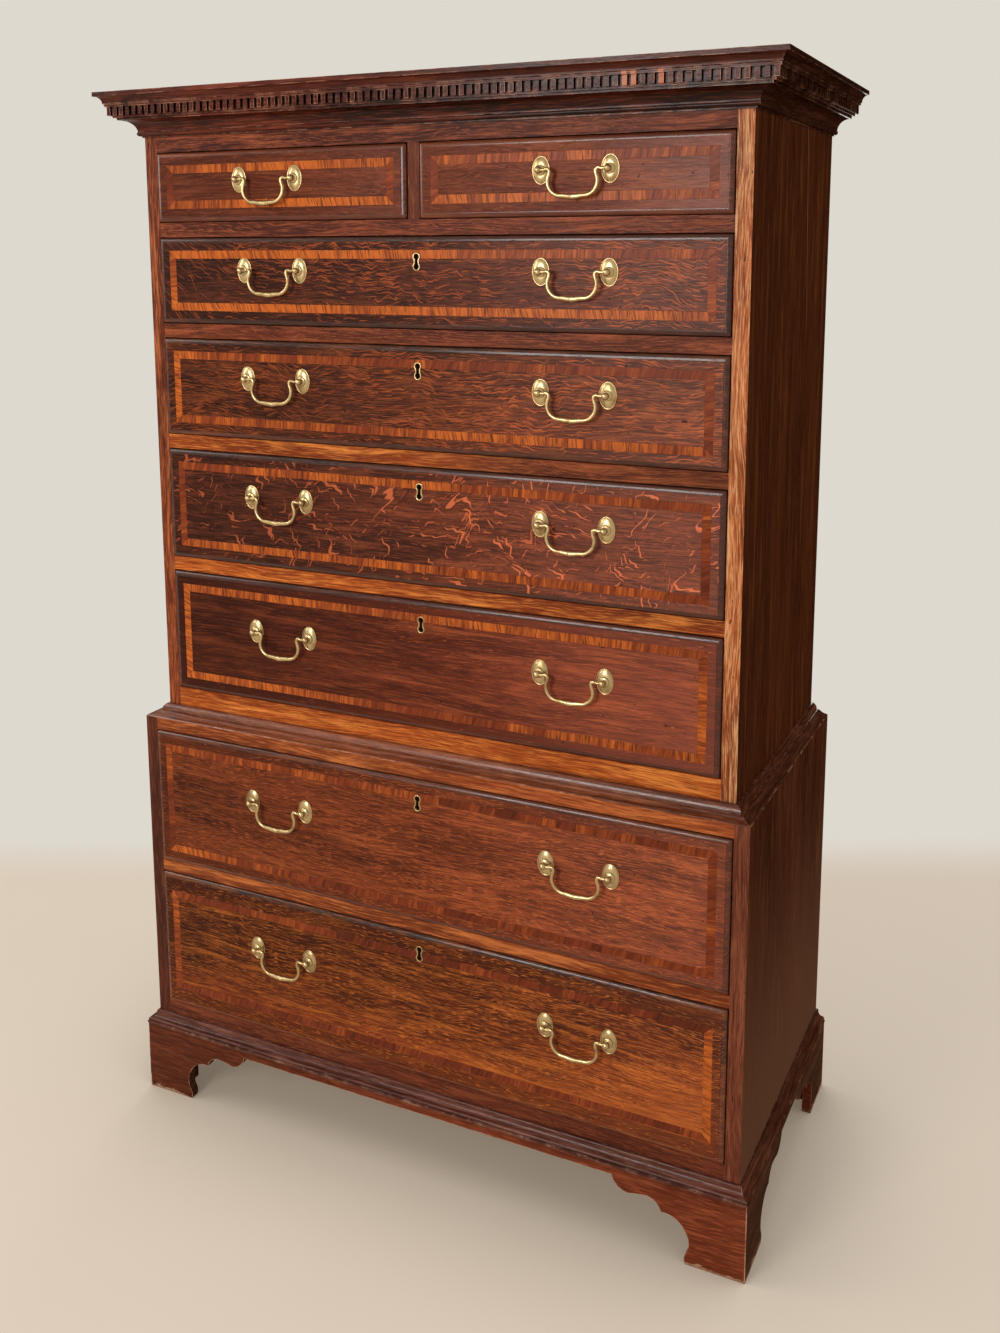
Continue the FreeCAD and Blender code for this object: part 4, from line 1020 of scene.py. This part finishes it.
# painted light, partly faded wood: the cornice brighter at its left and darker at its right
CORNICE_OAK = oak("cornice_oak", "X", tones((34, 11, 6), (84, 32, 18), (136, 62, 36)), 11, 0.7,
                  gloss=0.24, shine=0.16, wear=srgb(206, 140, 108), wear_share=0.8,
                  marks=[fade_and_painted_light(-0.3, 0.5, 1.1, 0.75), RENEWED_DENTILS])
CORNICE_SIDE_OAK = oak("cornice_side_oak", "Y", tones((40, 20, 13), (64, 34, 22), (94, 54, 38)), 12,
                       0.8, gloss=0.5, shine=0.0, wear=srgb(140, 98, 76), wear_share=0.7)
WAIST_OAK = oak("waist_oak", "X", tones((78, 35, 21), (134, 68, 40), (184, 110, 72)), 13, 0.8,
                gloss=0.24, shine=0.5, wear=srgb(204, 138, 98), wear_share=0.6)
BASE_OAK = oak("base_oak", "X", tones((60, 25, 17), (104, 52, 38), (162, 102, 84)), 17, 0.7,
               gloss=0.26, shine=0.26, wear=srgb(214, 168, 146), wear_share=0.7)
MOULDING_SIDE_OAK = oak("moulding_side_oak", "Y", tones((52, 27, 17), (88, 47, 31), (138, 84, 60)), 14,
                        0.8, gloss=0.5, shine=0.0, wear=srgb(190, 130, 92), wear_share=0.7)
WORN_SOLE = worn_sole(7 * MM, srgb(188, 146, 116))
# painted light, partly faded wood: the feet darker at the left and lighter at the right
FOOT_OAK = oak("foot_oak", "X", tones((86, 35, 18), (126, 58, 32), (156, 80, 48)), 15, 0.5,
               gloss=0.34, shine=0.1, wear=srgb(210, 160, 126), wear_share=1.1, lines=0.8,
               marks=[fade_and_painted_light(-0.5, 0.5, 0.62, 1.2), WORN_SOLE])
FOOT_SIDE_OAK = oak("foot_side_oak", "Y", tones((64, 38, 27), (92, 60, 44), (122, 86, 66)), 16, 0.6,
                    gloss=0.5, shine=0.0, wear=srgb(170, 122, 92), wear_share=0.6, marks=[WORN_SOLE])
CARCASE_PINE = pine("carcase_pine", "X", srgb(150, 112, 74), srgb(92, 62, 38), 14)
BACK_PINE = pine("back_pine", "Z", srgb(136, 102, 68), srgb(98, 70, 46), 15, board=182 * MM)
LINING_OAK = pine("lining_oak", "Y", srgb(184, 132, 86), srgb(134, 90, 57), 16)
BEHIND_OAK = pine("behind_oak", "X", srgb(128, 82, 50), srgb(88, 54, 34), 17)
BRASS = brass("antique_brass")
IRON = iron("lock_iron")
BAND_ACROSS = crossbanding("band_across", "Z", 20)
BAND_UPRIGHT = crossbanding("band_upright", "X", 21)
FRONT_OAK = {}
for number, drawer in enumerate(DRAWERS):
    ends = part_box(drawer + "_front")
    FRONT_OAK[drawer] = [front_oak(drawer, LOOKS[drawer], *ends, 30 + number),
                         edge_oak(drawer, LOOKS[drawer], *ends, 30 + number), BEHIND_OAK]


# ---------------------------------------------------------------- the case
# The sideways copies of the cornice, mouldings and feet have their own darker, duller tones, partly as
# painted shade.
CASE_FINISHES = {
    "lower_left_side": [LOWER_SIDE_OAK, LOWER_FRAME_OAK],
    "lower_right_side": [LOWER_SIDE_OAK, LOWER_FRAME_OAK],
    "upper_left_side": [UPPER_SIDE_OAK, UPPER_FRAME_OAK],
    "upper_right_side": [UPPER_SIDE_OAK, UPPER_FRAME_OAK],
    "lower_rails": [LOWER_FRAME_OAK], "upper_rails": [UPPER_FRAME_OAK],
    "lower_boards": [CARCASE_PINE], "upper_boards": [CARCASE_PINE],
    "lower_runners": [LINING_OAK], "upper_runners": [LINING_OAK],
    "lower_back_boards": [BACK_PINE], "upper_back_boards": [BACK_PINE],
    "base_moulding": [MOULDING_SIDE_OAK, BASE_OAK],
    "waist_moulding": [MOULDING_SIDE_OAK, WAIST_OAK],
    "cornice": [CORNICE_SIDE_OAK, CORNICE_OAK], "bracket_feet": [FOOT_SIDE_OAK, FOOT_OAK],
}
WORN_ARRISES = {"cornice": 0.6 * MM, "waist_moulding": 0.8 * MM, "base_moulding": 0.8 * MM,
                "bracket_feet": 0.9 * MM, "upper_rails": 0.6 * MM, "lower_rails": 0.6 * MM}


def dress(node, materials):
    """Materials for a CAD node; the second one, if any, is for what doesn't face sideways."""
    mesh = frame["nodes"][node].data
    mesh.materials.clear()
    for material in materials:
        mesh.materials.append(material)
    for face in mesh.polygons:
        ahead = abs(face.normal.x) < abs(face.normal.y) or abs(face.normal.x) < 0.05
        face.material_index = int(len(materials) > 1 and ahead)
    shade(mesh)


def dress_case():
    for node, materials in CASE_FINISHES.items():
        dress(node, materials)
        if node in WORN_ARRISES:
            bevelled(frame["nodes"][node], WORN_ARRISES[node])


def dress_drawer_box(name):
    dress(name + "_box", [LINING_OAK])
    if name in KEYED:
        dress(name + "_lock_bolt", [IRON])


# ---------------------------------------------------------------- one drawer
def keyhole_of(name):
    """Middle of a drawer's keyhole, under its bolt."""
    bolt_low, bolt_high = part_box(name + "_lock_bolt")
    low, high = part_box(name + "_front")
    drop = ROW_7_KEYHOLE_DROP if name == DRAWERS[-1] else KEYHOLE_DROP
    return (bolt_low.x + bolt_high.x) / 2, high.z - drop


def build_front(name):
    low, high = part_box(name + "_front")
    front = from_bmesh(name + "_moulded_front", front_blank(name, low, high), FRONT_OAK[name])
    pieces = bmesh.new()
    band_pieces(pieces, band_sides(name, low.y), low.y, random.Random(name), LOOKS[name]["bands"])
    banding = from_bmesh(name + "_crossbanding", pieces, [BAND_ACROSS, BAND_UPRIGHT])
    if name in KEYED:
        x, z = keyhole_of(name)
        lock_face = high.y - LOCK_DEPTH
        lock = bmesh.new()
        box_mesh(lock, (x - LOCK_WIDTH / 2, lock_face, high.z - LOCK_HEIGHT),
                 (x + LOCK_WIDTH / 2, high.y + 1 * MM, high.z + 1 * MM))
        cut(front, from_bmesh("lock_cutter", lock, []))
        cut(front, keyhole_cutter(x, z, low.y - 1 * MM, lock_face + 0.5 * MM))
        cut(banding, keyhole_cutter(x, z, low.y - 1 * MM, low.y + 2 * MM))
    bevelled(banding, 0.12 * MM, 1)
    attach(front, name)
    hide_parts(name + "_front")
    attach(banding, name)


def build_bail(body, pivot):
    wire = bmesh.new()
    tube(wire, bail_line(), bail_radius)
    bmesh.ops.translate(wire, verts=wire.verts, vec=pivot)
    bail = from_bmesh(body + "_wire", wire, [BRASS], 60)
    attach(bail, body)
    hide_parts(body)


def build_lock(name, face):
    """The rim of a keyhole, and the lock behind it."""
    x, z = keyhole_of(name)
    rim = bmesh.new()
    escutcheon(rim, x, z, face)
    ring = from_bmesh(name + "_escutcheon", rim, [BRASS], 50)
    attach(ring, name)
    lock = from_bmesh(name + "_lock", widest_solid(name + "_brasses"), [IRON])
    bevelled(lock, 0.5 * MM)
    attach(lock, name)


def build_brasses(name):
    """The handles of a drawer and, where it has them, its lock and escutcheon."""
    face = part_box(name + "_front")[0].y
    roses = bmesh.new()
    posts = bmesh.new()
    nuts = bmesh.new()
    for joint in frame["joints"]:
        if joint["parent"] == name and joint["type"] == "hinge":
            pivot = Vector(joint["pos_m"])
            for x in (pivot.x - POST_SPAN / 2, pivot.x + POST_SPAN / 2):
                rose(roses, x, pivot.z, face)
                post(posts, x, pivot.z, face)
                nut(nuts, x, pivot.z, face + FRONT_THICKNESS)
            build_bail(joint["child"], pivot)
    plates = from_bmesh(name + "_roses", roses, [BRASS], 50)
    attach(plates, name)
    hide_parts(name + "_brasses")
    turned = from_bmesh(name + "_posts", posts, [BRASS], 50)
    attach(turned, name)
    fittings = from_bmesh(name + "_nuts", nuts, [BRASS])
    bevelled(fittings, 0.5 * MM)
    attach(fittings, name)
    if name in KEYED:
        build_lock(name, face)


# ---------------------------------------------------------------- stage
WALL = srgb(222, 217, 207)
FLOOR_HALF = 30.0


def floor_paint():
    """Beige with a painted shadow under the chest, that turns into the wall's colour along a line behind
    the chest, and far out.
    """
    surface = Surface("floor")
    x, y, z = surface.xyz()
    away = x * -math.sin(CAMERA_YAW) + y * math.cos(CAMERA_YAW)
    out = surface.value("VectorMath", {0: surface.join(x, y, 0.0)}, 1, operation="LENGTH")
    behind = away.step(0.80, 1.10).most(out.step(4.0, 12.0))
    cloud = surface.noise(surface.place(), 3, 4.0)
    beige = surface.mix(srgb(238, 223, 202), srgb(206, 186, 164), cloud * 0.25)
    lit = surface.value("BsdfDiffuse", {"Color": beige})
    # painted shadow: the floor's seen colour darkens towards brown where the chest encloses it
    under = surface.openness(0.4, 8).step(0.30, 0.98, 0.8, 0.0)
    pale_with_painted_shadow = surface.mix(srgb(232, 217, 199), srgb(110, 96, 78), under)
    glow = surface.value("Emission", {"Color": pale_with_painted_shadow})
    wall_glow = surface.value("Emission", {"Color": WALL})
    seen = surface.seen()
    near = surface.blend(lit, glow, seen * out.step(1.5, 4.0, 0.55, 1.0))
    return surface.show(surface.blend(near, wall_glow, behind * seen))


def build_stage():
    """The floor, and even light from all round in which only the wall's colour is seen."""
    bm = bmesh.new()
    bmesh.ops.create_grid(bm, x_segments=1, y_segments=1, size=FLOOR_HALF)
    from_bmesh("floor", bm, [floor_paint()])
    sky = Surface("studio", "World")
    lighting = sky.value("Background", {"Color": (1.0, 0.98, 0.95, 1.0), "Strength": 0.33})
    shown = sky.value("Background", {"Color": WALL})
    bpy.context.scene.world = sky.show(sky.blend(lighting, shown, sky.seen()))


def soft_lamp(name, place, aim, size, power, colour):
    lamp = bpy.data.lights.new(name, "AREA")
    lamp.shape = "RECTANGLE"
    lamp.size, lamp.size_y = size
    lamp.energy = power
    lamp.color = colour
    holder = bpy.data.objects.new(name, lamp)
    bpy.context.scene.collection.objects.link(holder)
    holder.location = place
    holder.rotation_euler = (Vector(aim) - Vector(place)).to_track_quat("-Z", "Y").to_euler()


def build_lights():
    soft_lamp("window", (-0.7, -3.2, 1.9), (0, -0.2, 0.9), (1.2, 1.5), 52, (1.0, 0.98, 0.96))
    soft_lamp("room", (-2.6, -1.2, 2.3), (0, 0, 0.9), (1.4, 1.4), 24, (1.0, 0.97, 0.93))
    soft_lamp("right_fill", (3.2, 0.9, 1.9), (0.5, 0.1, 0.7), (2.0, 2.0), 20, (1.0, 0.97, 0.94))
    soft_lamp("rear_fill", (-0.8, 3.4, 2.2), (0, 0.2, 0.8), (2.0, 2.0), 26, (1.0, 0.98, 0.95))


def build_camera():
    camera = bpy.data.objects.new("camera", bpy.data.cameras.new("camera"))
    bpy.context.scene.collection.objects.link(camera)
    camera.location = CAMERA_PLACE
    camera.rotation_euler = (CAMERA_PITCH, CAMERA_ROLL, CAMERA_YAW)
    camera.data.lens = CAMERA_LENS
    camera.data.shift_x, camera.data.shift_y = CAMERA_SHIFT
    bpy.context.scene.camera = camera


bpy.context.scene.view_settings.view_transform = "Standard"
build_camera()
build_stage()
build_lights()
dress_case()
for drawer in DRAWERS:
    dress_drawer_box(drawer)
    build_front(drawer)
    build_brasses(drawer)
